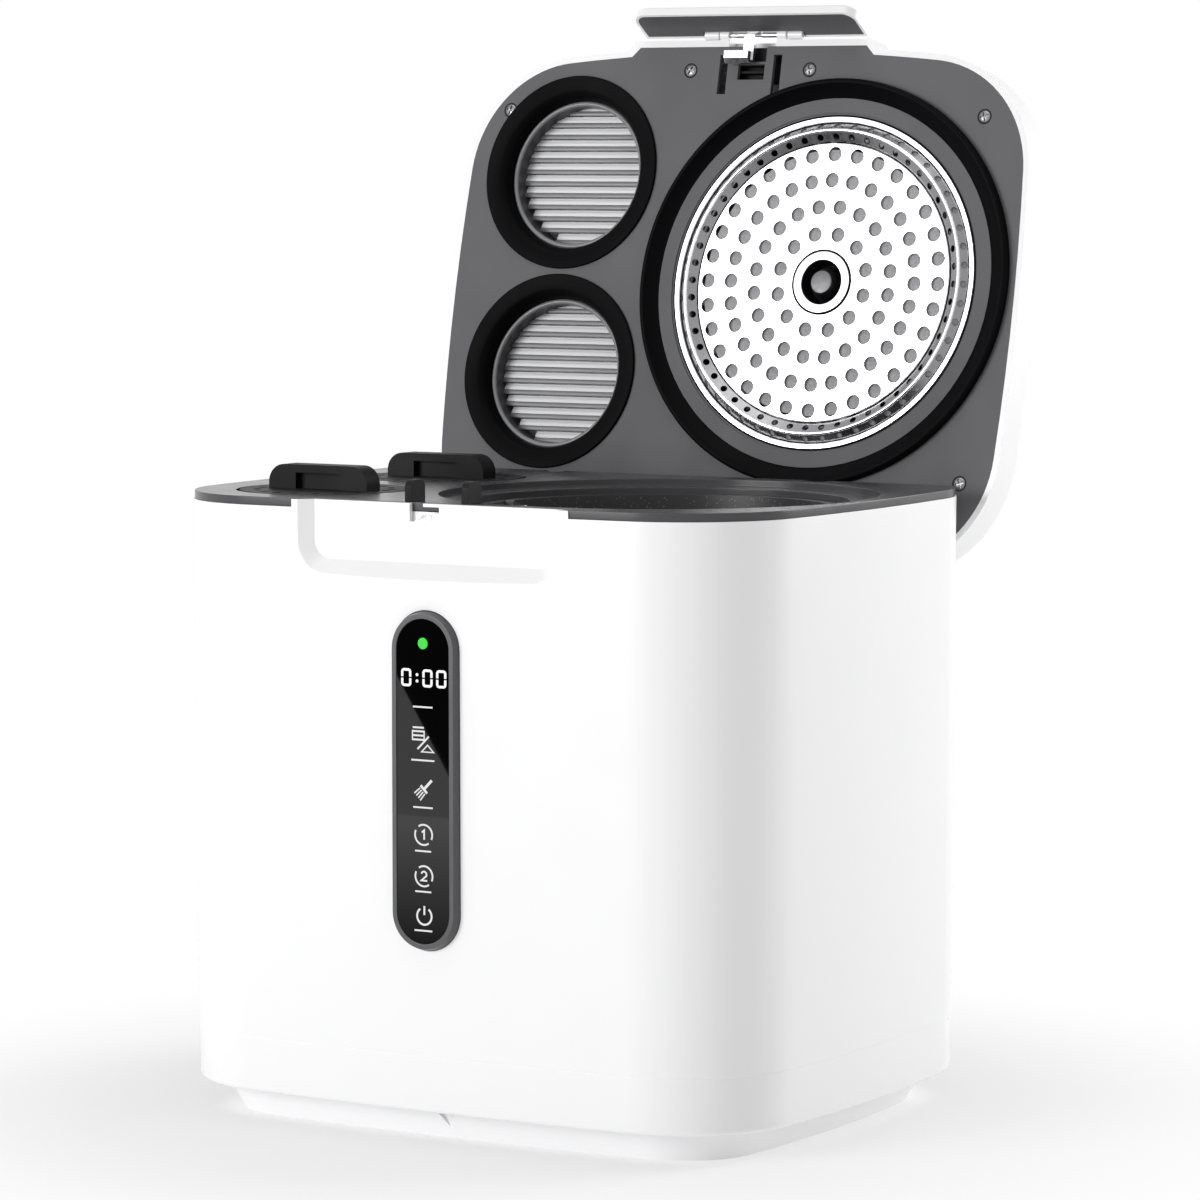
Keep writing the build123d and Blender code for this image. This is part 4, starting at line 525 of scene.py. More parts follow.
def growPiece(name, tree, values, mesh=None, matrix=None, angle=35):
    # Runs a geometry tree on a mesh in millimetres and keeps the result as a plain mesh.
    piece = linked(name, mesh or bpy.data.meshes.new(name))
    grown = piece.modifiers.new("grown", "NODES")
    grown.node_group = tree
    for item in tree.interface.items_tree:
        if item.in_out == "INPUT" and item.name in values:
            grown[item.identifier] = values[item.name]
    applyModifiers(piece)
    shadeByAngle(piece.data, angle)
    piece.data.transform(Matrix.Scale(mm, 4) @ (matrix or Matrix.Identity(4)))
    return piece


# Steel steam cover on the lid: radii and heights above the liner.
steamCover = {
    "flangeOut": 86.8, "flangeIn": 83.9, "flangeEase": 0.8, "floor": -6.0, "innerEdge": 71.0,
    "sheet": 0.8, "footOut": 83.3, "rimOut": 80.2, "rimIn": 78.3, "rimTop": 3.1, "footIn": 73.7,
    "sideHoles": 52, "sideHole": 1.8, "face": 1.0, "discOut": 72.9, "discIn": 12.4,
    "discHole": 3.9, "feltOut": 69.6, "feltTop": -0.6, "feltLow": -1.4, "steps": 180,
    "rings": ((25.7, 12, 0.5), (39.5, 20, 0.5), (53.4, 28, 0), (67.0, 32, 0)),
}  # rings: radius, holes, and the turn as a share of the pitch
hub = {
    "out": 16.1, "in": 11.6, "ease": 0.4, "gasketOut": 17.1, "socketFloor": -8.4,
    "knobBore": 8.7, "knobTop": -10.6, "knobLow": -25.0, "studFoot": 9.6, "studTop": 6.1,
    "studEase": 0.6,
}


def perforateTree():
    # Cuts a ring of round holes through the mesh that it is given.
    tree, given = newTree("ringOfHoles", [
        ("Ring Radius", "NodeSocketFloat", 78.0), ("Ring Height", "NodeSocketFloat", 0.0),
        ("Holes", "NodeSocketInt", 60), ("Hole Radius", "NodeSocketFloat", 1.5),
        ("Outward", "NodeSocketFloat", 1.0), ("Upward", "NodeSocketFloat", 0.0),
        ("Turn", "NodeSocketFloat", 0.0), ("Material", "NodeSocketMaterial", None),
    ])
    ring = addNode(tree, "GeometryNodeMeshCircle", {
        "Vertices": given.outputs["Holes"], "Radius": given.outputs["Ring Radius"],
    })
    height = addNode(tree, "ShaderNodeCombineXYZ", {"Z": given.outputs["Ring Height"]})
    turn = addNode(tree, "ShaderNodeCombineXYZ", {"Z": given.outputs["Turn"]})
    raised = addNode(tree, "GeometryNodeTransform", {
        "Geometry": ring.outputs["Mesh"], "Translation": height.outputs["Vector"],
        "Rotation": turn.outputs["Vector"],
    })
    cutter = addNode(tree, "GeometryNodeMeshCylinder", {
        "Vertices": 32, "Radius": given.outputs["Hole Radius"], "Depth": 3.0,
    })
    spot = addNode(tree, "GeometryNodeInputPosition")
    flat = addNode(tree, "ShaderNodeVectorMath", {
        0: spot.outputs["Position"], 1: (1, 1, 0),
    }, operation="MULTIPLY")
    along = addNode(tree, "ShaderNodeVectorMath", {
        0: flat.outputs["Vector"],
    }, operation="NORMALIZE")
    side = addNode(tree, "ShaderNodeVectorMath", {
        0: along.outputs["Vector"], "Scale": given.outputs["Outward"],
    }, operation="SCALE")
    up = addNode(tree, "ShaderNodeCombineXYZ", {"Z": given.outputs["Upward"]})
    axis = addNode(tree, "ShaderNodeVectorMath", {
        0: side.outputs["Vector"], 1: up.outputs["Vector"],
    }, operation="ADD")
    aim = addNode(tree, "FunctionNodeAlignEulerToVector", {
        "Vector": axis.outputs["Vector"],
    }, axis="Z")
    cutters = addNode(tree, "GeometryNodeInstanceOnPoints", {
        "Points": raised.outputs["Geometry"], "Instance": cutter.outputs["Mesh"],
        "Rotation": aim.outputs["Rotation"],
    })
    cut = addNode(tree, "GeometryNodeMeshBoolean", {
        "Mesh 1": given.outputs["Geometry"], "Mesh 2": cutters.outputs["Instances"],
    }, operation="DIFFERENCE")
    endTree(tree, cut.outputs["Mesh"], given.outputs["Material"])
    return tree


def perforated(name, tree, profile, rows, finish, centre):
    # A turned sheet with rows of holes: ring radius, height, holes, hole radius, the axis
    # outward and upward, and the turn round the sheet.
    unscaled = Matrix.Scale(1 / mm, 4)
    blank = lathe(name + ".blank", profile, unscaled, steamCover["steps"])
    mesh = blank.data.copy()
    bpy.data.objects.remove(blank)
    for index, (radius, height, holes, hole, outward, upward, turn) in enumerate(rows):
        last = index == len(rows) - 1
        piece = growPiece(name, tree, {
            "Ring Radius": radius, "Ring Height": height, "Holes": holes, "Hole Radius": hole,
            "Outward": outward, "Upward": upward, "Turn": turn, "Material": finish,
        }, mesh, centre if last else unscaled)
        if not last:
            mesh = piece.data.copy()
            bpy.data.objects.remove(piece)
    return piece


def makeChannel(centre):
    # The flange on the liner, a black ring round it as painted shade for the gap, and the pressed channel inside
    # it, darkened as a painted reflection.
    c = steamCover
    low, high, ease, floor = c["flangeIn"], c["flangeOut"], c["flangeEase"], c["floor"]
    flange = lathe("steamFlange", [
        (high - 0.3, 0), (high, 0.4), (high - 0.2, 0.75),
        *arcPoints((low + ease, 0.0), ease, 90, 180, 6),
        (low, -0.6), (low + 0.6, -0.6), (low + ease, 0),
    ], centre, c["steps"])
    place(flange, "lid", "steam_tray", finish=finishes["satinSteel"], slot="steel")
    # A black silicone ring laid round the flange: painted shade standing in for the shaded gap.
    gap = lathe("steamGapShadeRing", [
        (high - 0.4, 0.0), (high + 0.9, 0.0), (high + 0.9, 0.3), (high - 0.1, 0.3),
    ], centre, c["steps"])
    place(gap, "lid", finish=finishes["seal_rubber"], slot="seal_rubber")
    # The channel takes the darkened steel: a painted reflection.
    channel = lathe("steamChannel", [
        (low + 0.4, -0.55), (low + 0.2, floor + 0.6),
        *arcPoints((low - 0.4, floor + 0.6), 0.6, 0, -90, 4),
        (c["innerEdge"], floor), (c["innerEdge"], floor - c["sheet"]),
        (low + 1.2, floor - c["sheet"]), (low + 1.2, -0.55),
    ], centre, c["steps"])
    place(channel, "lid", finish=finishes["channelSteel"], slot="steel")


def makeBands(centre, tree):
    # Two perforated cones that meet in a rolled rim.
    c = steamCover
    top, sheet = c["rimTop"], c["sheet"]
    for name, foot, low, edge in (
        ("steamBandOuter", c["footOut"], 0.0, c["rimOut"]),
        ("steamBandInner", c["footIn"], c["face"] - 0.7, c["rimIn"]),
    ):
        run, rise = edge - foot, top - low
        length = math.hypot(run, rise)
        outward = math.copysign(rise, foot - edge)
        backX, backZ = outward * sheet / length, abs(run) * sheet / length
        band = perforated(name, tree, [
            (foot, low), (edge, top), (edge - backX, top - backZ), (foot - backX, low - backZ),
        ], [
            ((foot + edge) / 2, (low + top) / 2, c["sideHoles"], c["sideHole"],
             outward, abs(run), 0.0),
        ], finishes["bandSteel"], centre)
        place(band, "lid", slot="steel")
    middle, bead = (c["rimIn"] + c["rimOut"]) / 2, (c["rimOut"] - c["rimIn"]) / 2
    rolled = arcPoints((middle, top - 0.2), bead + 0.05, -20, 200, 14)
    rim = lathe("steamRim", rolled, centre, c["steps"], angle=60)
    place(rim, "lid", finish=finishes["steel"], slot="steel")


def makeDisc(centre, tree):
    # The perforated disc at the middle of the cover.
    c = steamCover
    face = c["face"]
    disc = perforated("filterDisc", tree, [
        (c["discIn"], face - 1), (c["discIn"], face), (c["discOut"] - 0.5, face),
        (c["discOut"], face - 0.5), (c["discOut"], face - 1),
    ], [
        (ring, face, holes, c["discHole"], 0.0, 1.0, 2 * math.pi * shift / holes)
        for ring, holes, shift in c["rings"]
    ], finishes["satinSteel"], centre)
    place(disc, "lid", "filter_disc", slot="steel")


def makeHub(centre):
    # Thin gasket, steel collar, dark socket and turned stud at the disc's middle.
    h, face = hub, steamCover["face"]
    gasket = lathe("hubGasket", [
        (h["out"] - 0.6, face - 0.1), (h["gasketOut"], face - 0.1),
        (h["gasketOut"], face + 0.4), (h["out"] - 0.2, face + 0.4),
    ], centre)
    place(gasket, "lid", finish=finishes["seal_rubber"], slot="seal_rubber")
    collar = lathe("hubCollar", [
        (h["in"], face - 0.6), (h["in"], face + 0.3),
        *arcPoints((h["in"] + h["ease"], face + 0.2), h["ease"], 180, 90, 3),
        *arcPoints((h["out"] - h["ease"], face + 0.2), h["ease"], 90, 0, 3),
        (h["out"], face + 0.1), (h["out"], face - 0.6),
    ], centre)
    place(collar, "lid", "hub_knob", finish=finishes["satinSteel"], slot="steel")
    socket = lathe("hubSocket", [
        (h["in"], face - 0.2), (h["in"] - 0.3, -6.0), (h["in"] - 1.4, h["socketFloor"]),
        (0, h["socketFloor"]), (0, h["knobLow"]), (h["knobBore"], h["knobLow"]),
        (h["knobBore"], h["knobTop"]), (h["in"], h["knobTop"]),
    ], centre)
    place(socket, "lid", finish=finishes["dark_plastic"], slot="dark_plastic")
    stud = lathe("hubStud", [
        (0, h["socketFloor"]), (h["studFoot"], h["socketFloor"]), (h["studFoot"] - 0.2, -6.0),
        (h["studTop"], face + 0.1),
        *arcPoints((h["studTop"] - h["studEase"], face + 0.1), h["studEase"], 10, 90, 3),
        (0, face + 0.7),
    ], centre, closed=False, angle=50)
    place(stud, "lid", finish=finishes["studSteel"], slot="bright_steel")


def makeFelt(centre):
    # Filter felt behind the disc and behind the outer band.
    c = steamCover
    felt = lathe("feltPad", [
        (c["discIn"], c["feltLow"]), (c["discIn"], c["feltTop"]),
        (c["feltOut"], c["feltTop"]), (c["feltOut"], c["feltLow"]),
    ], centre)
    lining = lathe("feltLining", [
        (c["footOut"] - 0.7, -0.6), (c["rimOut"] - 0.7, c["rimTop"] - 0.7),
        (c["rimOut"] - 1.2, c["rimTop"] - 1.1), (c["footOut"] - 1.2, -1.0),
    ], centre, steps=120)
    for pad in (felt, lining):
        place(pad, "lid", finish=finishes["filterFelt"])


coverCentre = lidSpot(bucketPlace["x"], bucketPlace["onLid"])
holes = perforateTree()
makeChannel(coverCentre)
makeBands(coverCentre, holes)
makeDisc(coverCentre, holes)
makeHub(coverCentre)
makeFelt(coverCentre)

# Moulded lip seal that closes on the bucket's rim.
sealRing = {"inner": 96.5, "outer": 106.5, "height": 4.6, "crest": 1.9, "steps": 180}
seal = lathe("bucketSeal", [
    (sealRing["inner"], 0), (sealRing["inner"], 0.3), (sealRing["inner"] + 0.5, 0.7),
    (sealRing["outer"] - 2.6, sealRing["height"] - 0.3),
    *arcPoints((sealRing["outer"] - sealRing["crest"], sealRing["height"] - sealRing["crest"]),
               sealRing["crest"], 110, 0, 7),
    (sealRing["outer"], 0),
], coverCentre, sealRing["steps"], angle=50)
place(seal, "lid", "bucket_seal", finish=finishes["seal_rubber"], slot="seal_rubber")
print("steam cover and seal made")

# Filter ports in the lid.
port = {
    "bore": 40.0, "outer": 52.0, "lip": 8.2, "lipFoot": -8.0, "frameTop": -8.4,
    "frameLow": -25.0, "grilleBore": 37.6, "bead": 1.4, "slats": 12, "pitch": 6.35,
    # bars and vanes are one grille plastic in two tones: the pale vanes are painted light, the darker bars painted
    # shade
    "bar": {"section": (2.3, 1.8, 0.0), "front": -14.5, "up": 0.0, "finish": "grille_grey"},
    "vane": {"section": (1.0, 1.2, 4.4), "front": -15.5, "up": 1.0, "finish": "vaneGreyPaintedLight"},
}  # a section is its face, its depth and its rise towards the back


def slatTree():
    # Louvre slats across a round opening, each as long as the circle is wide there.
    tree, given = newTree("louvreSlats", [
        ("Slats", "NodeSocketInt", 12), ("Pitch", "NodeSocketFloat", 6.0),
        ("Bore Radius", "NodeSocketFloat", 37.0), ("Face", "NodeSocketFloat", 2.6),
        ("Depth", "NodeSocketFloat", 6.0), ("Rise", "NodeSocketFloat", 4.8),
        ("Material", "NodeSocketMaterial", None),
    ])
    lessOne = addNode(tree, "ShaderNodeMath", {
        0: given.outputs["Slats"], 1: -1.0,
    }, operation="ADD")
    span = addNode(tree, "ShaderNodeMath", {
        0: lessOne.outputs["Value"], 1: given.outputs["Pitch"],
    }, operation="MULTIPLY")
    start = addNode(tree, "ShaderNodeMath", {
        0: span.outputs["Value"], 1: -0.5,
    }, operation="MULTIPLY")
    first = addNode(tree, "ShaderNodeCombineXYZ", {"Y": start.outputs["Value"]})
    step = addNode(tree, "ShaderNodeCombineXYZ", {"Y": given.outputs["Pitch"]})
    line = addNode(tree, "GeometryNodeMeshLine", {
        "Count": given.outputs["Slats"], "Start Location": first.outputs["Vector"],
        "Offset": step.outputs["Vector"],
    })
    half = addNode(tree, "ShaderNodeMath", {
        0: given.outputs["Face"], 1: 0.5,
    }, operation="MULTIPLY")
    less = addNode(tree, "ShaderNodeMath", {
        0: half.outputs["Value"], 1: -1.0,
    }, operation="MULTIPLY")
    top = addNode(tree, "ShaderNodeMath", {
        0: half.outputs["Value"], 1: given.outputs["Rise"],
    }, operation="ADD")
    low = addNode(tree, "ShaderNodeMath", {
        0: given.outputs["Rise"], 1: half.outputs["Value"],
    }, operation="SUBTRACT")
    deep = given.outputs["Depth"]
    corners = [
        addNode(tree, "ShaderNodeCombineXYZ", {"Y": less.outputs["Value"]}),
        addNode(tree, "ShaderNodeCombineXYZ", {"Y": half.outputs["Value"]}),
        addNode(tree, "ShaderNodeCombineXYZ", {"X": deep, "Y": top.outputs["Value"]}),
        addNode(tree, "ShaderNodeCombineXYZ", {"X": deep, "Y": low.outputs["Value"]}),
    ]
    outline = addNode(tree, "GeometryNodeCurvePrimitiveQuadrilateral", {
        "Point 1": corners[0].outputs["Vector"], "Point 2": corners[1].outputs["Vector"],
        "Point 3": corners[2].outputs["Vector"], "Point 4": corners[3].outputs["Vector"],
    }, mode="POINTS")
    eased = addNode(tree, "GeometryNodeFilletCurve", {
        "Curve": outline.outputs["Curve"], "Count": 2, "Radius": 0.3,
    }, mode="POLY")
    run = addNode(tree, "GeometryNodeCurvePrimitiveLine", {
        "Start": (0, 0, -0.5), "End": (0, 0, 0.5),
    })
    slat = addNode(tree, "GeometryNodeCurveToMesh", {
        "Curve": run.outputs["Curve"], "Profile Curve": eased.outputs["Curve"], "Fill Caps": True,
    })
    spot = addNode(tree, "GeometryNodeInputPosition")
    parts = addNode(tree, "ShaderNodeSeparateXYZ", {"Vector": spot.outputs["Position"]})
    across = addNode(tree, "ShaderNodeMath", {
        0: parts.outputs["Y"], 1: parts.outputs["Y"],
    }, operation="MULTIPLY")
    reach = addNode(tree, "ShaderNodeMath", {
        0: given.outputs["Bore Radius"], 1: given.outputs["Bore Radius"],
    }, operation="MULTIPLY")
    left = addNode(tree, "ShaderNodeMath", {
        0: reach.outputs["Value"], 1: across.outputs["Value"],
    }, operation="SUBTRACT")
    chord = addNode(tree, "ShaderNodeMath", {0: left.outputs["Value"]}, operation="SQRT")
    length = addNode(tree, "ShaderNodeMath", {
        0: chord.outputs["Value"], 1: 2.0,
    }, operation="MULTIPLY")
    scale = addNode(tree, "ShaderNodeCombineXYZ", {
        "X": 1.0, "Y": 1.0, "Z": length.outputs["Value"],
    })
    slats = addNode(tree, "GeometryNodeInstanceOnPoints", {
        "Points": line.outputs["Mesh"], "Instance": slat.outputs["Mesh"],
        "Rotation": (0, math.radians(90), 0), "Scale": scale.outputs["Vector"],
    })
    endTree(tree, slats.outputs["Instances"], given.outputs["Material"])
    return tree


def makePorts():
    # Two ports, each a lip seal, a bead and frame, and bars with steep vanes behind them.
    p = port
    bore, outer, inner, top = p["bore"], p["outer"], p["grilleBore"], p["frameTop"]
    tree = slatTree()
    parts = {"portSeals": [], "portFrames": [], "portBeads": [], "bar": [], "vane": []}
    for side in ("front", "rear"):
        v = hinge.y + lidPlace["hingeUp"] - filterPlace[side]
        centre = lidSpot(filterPlace["x"], v)
        parts["portSeals"].append(lathe("portSeal." + side, [
            (bore, p["lipFoot"]), (bore, -6.4),
            *arcPoints((bore + p["lip"], -6.0), p["lip"], 182, 118, 8),
            (outer - 1.2, 1.4), *arcPoints((outer - 0.5, 0.9), 0.6, 120, 0, 4),
            (outer + 0.1, 0), (outer - 0.9, 0), (outer - 0.9, -2.5),
            (outer - 2.1, -2.5), (bore + 2, p["lipFoot"]),
        ], centre, steps=128, angle=40))
        parts["portFrames"].append(lathe("portFrame." + side, [
            (inner, p["frameLow"]), (inner + 2, p["frameLow"]), (inner + 2, top), (inner, top),
        ], centre, steps=96))
        parts["portBeads"].append(lathe("portBead." + side, [
            (bore, top), (bore, top + 0.8),
            *arcPoints((bore - p["bead"], top + 0.6), p["bead"], 10, 170, 10), (inner, top),
        ], centre, steps=128, angle=50))
        # Pale vanes as painted light and darker bars as painted shade, on one grille plastic.
        for kind in ("bar", "vane"):
            face, depth, rise = p[kind]["section"]
            parts[kind].append(growPiece("port." + kind + "." + side, tree, {
                "Slats": p["slats"], "Pitch": p["pitch"], "Bore Radius": inner, "Face": face,
                "Depth": depth, "Rise": rise, "Material": finishes[p[kind]["finish"]],
            }, matrix=lidSpot(filterPlace["x"], v + p[kind]["up"], p[kind]["front"])))
    for name, made, nodes, finish, slot in (
        ("portSeals", "portSeals", ["port_seals"], "seal_rubber", "seal_rubber"),
        ("portFrames", "portFrames", [], "bezel_grey", "grille_grey"),
        ("portBeads", "portBeads", [], "beadGrey", "grille_grey"),
        ("portVanes", "vane", [], p["vane"]["finish"], "grille_grey"),
        ("portSlats", "bar", ["port_grilles"], p["bar"]["finish"], "grille_grey"),
    ):
        place(joinPieces(name, parts[made]), "lid", *nodes, finish=finishes[finish], slot=slot)


makePorts()
print("filter ports made")

# Screws round the lid's liner, at (u, v) on the lid.
lidScrews = {
    "head": 3.3, "slotWidth": 1.05, "slotLength": 4.8, "seed": 4, "ring": 4.0, "sunk": 0.5,
    "spots": [(-35.5, 263.1), (35.5, 263.1), (-144.2, 242.3), (139.5, 238.1),
              (-146.6, 49.8), (146.6, 49.8), (-20.0, 22.0)],
}


def screwTree():
    # Domed cross-head screws on the given points, each turned by chance.
    tree, given = newTree("crossHeadScrews", [
        ("Head Radius", "NodeSocketFloat", 3.0), ("Slot Width", "NodeSocketFloat", 0.8),
        ("Slot Length", "NodeSocketFloat", 3.8), ("Seed", "NodeSocketInt", 1),
        ("Material", "NodeSocketMaterial", None),
    ])
    dome = addNode(tree, "GeometryNodeMeshUVSphere", {
        "Segments": 32, "Rings": 14, "Radius": given.outputs["Head Radius"],
    })
    flat = addNode(tree, "GeometryNodeTransform", {
        "Geometry": dome.outputs["Mesh"], "Scale": (1, 1, 0.36),
    })
    slotSize = addNode(tree, "ShaderNodeCombineXYZ", {
        "X": given.outputs["Slot Length"], "Y": given.outputs["Slot Width"], "Z": 1.6,
    })
    slotBar = addNode(tree, "GeometryNodeMeshCube", {"Size": slotSize.outputs["Vector"]})
    raised = addNode(tree, "GeometryNodeTransform", {
        "Geometry": slotBar.outputs["Mesh"], "Translation": (0, 0, 0.85),
    })
    crossed = addNode(tree, "GeometryNodeTransform", {
        "Geometry": raised.outputs["Geometry"], "Rotation": (0, 0, math.radians(90)),
    })
    once = addNode(tree, "GeometryNodeMeshBoolean", {
        "Mesh 1": flat.outputs["Geometry"], "Mesh 2": raised.outputs["Geometry"],
    }, operation="DIFFERENCE")
    head = addNode(tree, "GeometryNodeMeshBoolean", {
        "Mesh 1": once.outputs["Mesh"], "Mesh 2": crossed.outputs["Geometry"],
    }, operation="DIFFERENCE")
    chance = addNode(tree, "FunctionNodeRandomValue", {
        "Seed": given.outputs["Seed"], 2: 0.0, 3: 1.5,
    }, data_type="FLOAT")
    turn = addNode(tree, "ShaderNodeCombineXYZ", {"Z": chance.outputs[1]})
    screws = addNode(tree, "GeometryNodeInstanceOnPoints", {
        "Points": given.outputs["Geometry"], "Instance": head.outputs["Mesh"],
        "Rotation": turn.outputs["Vector"],
    })
    endTree(tree, screws.outputs["Instances"], given.outputs["Material"])
    return tree


def makeLidScrews():
    # All the screws as one piece, and a dark ring under each head.
    mesh = bpy.data.meshes.new("lidScrews")
    mesh.from_pydata([(u, v, -lidScrews["sunk"]) for u, v in lidScrews["spots"]], [], [])
    screws = growPiece("lidScrews", screwTree(), {
        "Head Radius": lidScrews["head"], "Slot Width": lidScrews["slotWidth"],
        "Slot Length": lidScrews["slotLength"], "Seed": lidScrews["seed"],
        "Material": finishes["screwSteel"],
    }, mesh=mesh, matrix=lidMatrix)
    place(screws, "lid", "lid_screws", slot="bright_steel")
    head, ring = lidScrews["head"], lidScrews["ring"]
    rings = [
        lathe("screwRing.%d" % i, [
            (head - 0.3, -lidScrews["sunk"]), (ring, -0.2), (ring, 0.08), (head - 0.1, 0.02),
        ], lidSpot(*spot), steps=32)
        for i, spot in enumerate(lidScrews["spots"])
    ]
    place(joinPieces("screwRings", rings), "lid", finish=finishes["dark_plastic"],
          slot="dark_plastic")


makeLidScrews()
print("lid screws made")


# Lit digits and symbols on the panel's glass.
panelPrintSizes = {"lift": 0.06, "thick": 0.1}
digits = {
    "high": 8.6, "wide": 5.7, "stroke": 1.2, "middle": 225.1, "zeros": (-9.25, 2.75, 10.5),
    "colon": -3.15, "dotUp": 1.5, "dot": 0.75, "cut": 0.35, "corner": 0.9, "level": 1.0,
}
icons = {
    "stroke": 0.85, "thin": 0.6, "level": 0.8, "filter": (-2.52, 198.25),
    "slash": ((3.37, 197.38), (-2.97, 191.14)), "mark": (2.69, 191.52),
    "brush": (0.42, 171.92), "handle": 1.3, "ferrule": 1.2, "bristle": 0.65,
    "rings": ((0.31, 150.21), (0.42, 130.37)), "ring": 4.85,
    "power": (0.59, 111.2), "powerRing": 4.1, "powerStroke": 0.95, "barStroke": 0.8,
    "bars": ((211.31, 11.0), (185.85, 13.0), (163.27, 11.0), (142.38, 9.0), (122.92, 9.0),
             (104.18, 10.0)),
}  # places are (x, z) on the panel, and bars are their height and length


def ribbon(work, points, width, closed=False):
    # A flat band along points in the panel's x and z, with mitred corners.
    spots = [Vector(p) for p in points]
    count = len(spots)
    left, right = [], []
    for i, spot in enumerate(spots):
        before = spots[i - 1] if closed or i else None
        after = spots[(i + 1) % count] if closed or i < count - 1 else None
        dirIn = (spot - before).normalized() if before is not None else None
        dirOut = (after - spot).normalized() if after is not None else None
        along = ((dirIn or dirOut) + (dirOut or dirIn)).normalized()
        across = Vector((-along.y, along.x))
        straight = Vector((-(dirIn or dirOut).y, (dirIn or dirOut).x))
        reach = width / 2 / max(0.4, across.dot(straight))
        left.append(work.verts.new((*(spot + across * reach), 0)))
        right.append(work.verts.new((*(spot - across * reach), 0)))
    for i in range(count if closed else count - 1):
        j = (i + 1) % count
        work.faces.new((left[i], right[i], right[j], left[j]))


def panelPrint(name, work, finish, slot):
    # Turns flat shapes into thin print just in front of the glass.
    bmesh.ops.recalc_face_normals(work, faces=work.faces)
    for face in work.faces:
        if face.normal.z < 0:
            face.normal_flip()
    raised = bmesh.ops.extrude_face_region(work, geom=list(work.faces))
    top = [v for v in raised["geom"] if isinstance(v, bmesh.types.BMVert)]
    bmesh.ops.translate(work, verts=top, vec=(0, 0, panelPrintSizes["thick"]))
    bmesh.ops.recalc_face_normals(work, faces=work.faces)
    mesh = bpy.data.meshes.new(name)
    work.to_mesh(mesh)
    work.free()
    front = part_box("panel_glass")[0][1] / mm
    standing = Matrix(((1, 0, 0, 0), (0, 0, -1, 0), (0, 1, 0, 0), (0, 0, 0, 1)))
    matrix = Matrix.Translation((0, front - panelPrintSizes["lift"], 0)) @ standing
    place(newPiece(name, mesh, matrix), "base", finish=finish, slot=slot)


def litDigits(work):
    # 0:00, each digit in two halves with a small break at its waist.
    d = digits
    half, top = (d["wide"] - d["stroke"]) / 2, (d["high"] - d["stroke"]) / 2
    z, cut, corner, bend = d["middle"], d["cut"], d["corner"], d["corner"] / 3
    for x in d["zeros"]:
        for side in (1, -1):
            ribbon(work, [
                (x - half, z + side * cut), (x - half, z + side * (top - corner)),
                (x - half + bend, z + side * (top - bend)), (x - half + corner, z + side * top),
                (x + half - corner, z + side * top), (x + half - bend, z + side * (top - bend)),
                (x + half, z + side * (top - corner)), (x + half, z + side * cut),
            ], d["stroke"])
    for side in (1, -1):
        dot = arcPoints((d["colon"], z + side * d["dotUp"]), d["dot"], 0, 345, 15)
        work.faces.new([work.verts.new((*spot, 0)) for spot in dot])


def panelIcons(work):
    # Filter and brush pictures, two numbered rings, a power sign and plain key bars.
    stroke, thin = icons["stroke"], icons["thin"]

    def line(centre, points, width, closed=False):
        ribbon(work, [(centre[0] + x, centre[1] + z) for x, z in points], width, closed)

    for z, half in ((3.2, 3.1), (1.4, 3.5), (-0.6, 3.5), (-2.6, 3.5)):
        line(icons["filter"], [(-half, z), (half, z)], stroke)
    for x in (-3.3, 3.3):
        line(icons["filter"], [(x, -3.0), (x, 1.8)], thin)
    ribbon(work, icons["slash"], stroke)
    line(icons["mark"], [(-3.4, -1.6), (0, 1.7), (3.4, -1.6)], thin, closed=True)
    line(icons["brush"], [(4.6, 4.6), (0.4, 0.4)], icons["handle"])
    line(icons["brush"], [(-1.7, 1.9), (1.9, -1.7)], icons["ferrule"])
    for side in (-1.5, -0.5, 0.5, 1.5):
        line(icons["brush"], [
            (-0.7 + side * 0.9, -0.7 - side * 0.9), (-3.6 + side * 1.1, -3.6 - side * 1.1),
        ], icons["bristle"])
    numerals = (
        [(-1.0, 1.2), (0.3, 2.2), (0.3, -2.3)],
        [*arcPoints((0, 0.8), 1.45, 165, -30, 12), (-1.5, -2.1), (1.8, -2.1)],
    )
    for ring, numeral in zip(icons["rings"], numerals):
        for start in (155, -25):
            ribbon(work, arcPoints(ring, icons["ring"], start, start + 150, 24), stroke)
        line(ring, numeral, stroke)
    ribbon(work, arcPoints(icons["power"], icons["powerRing"], 125, 415, 36),
           icons["powerStroke"])
    line(icons["power"], [(0, 4.9), (0, 0.6)], icons["powerStroke"])
    for z, length in icons["bars"]:
        ribbon(work, [(-length / 2, z), (length / 2, z)], icons["barStroke"])


for name, draw, level in (
    ("litDigits", litDigits, digits["level"]), ("panelIcons", panelIcons, icons["level"]),
):
    work = bmesh.new()
    draw(work)
    panelPrint(name, work, glowing(name + ".light", "#FFFFFF", level), "led_green")
print("panel print made")


# Camera, floor and light.
def makeCamera():
    view = {
        "target": (13.73, 0, 252.1), "distance": 2531.15, "azimuth": 30.96, "elevation": 5.14,
        "lens": 153.17, "sensor": 36,
    }
    turn = math.radians(view["azimuth"])
    rise = math.radians(view["elevation"])
    back = Vector((
        math.sin(turn) * math.cos(rise), -math.cos(turn) * math.cos(rise), math.sin(rise),
    ))
    data = bpy.data.cameras.new("camera")
    data.lens = view["lens"]
    data.sensor_width = view["sensor"]
    data.clip_end = 100
    camera = linked("camera", data)
    camera.location = (Vector(view["target"]) + back * view["distance"]) * mm
    camera.rotation_mode = "QUATERNION"
    camera.rotation_quaternion = (-back).to_track_quat("-Z", "Y")
    bpy.context.scene.camera = camera


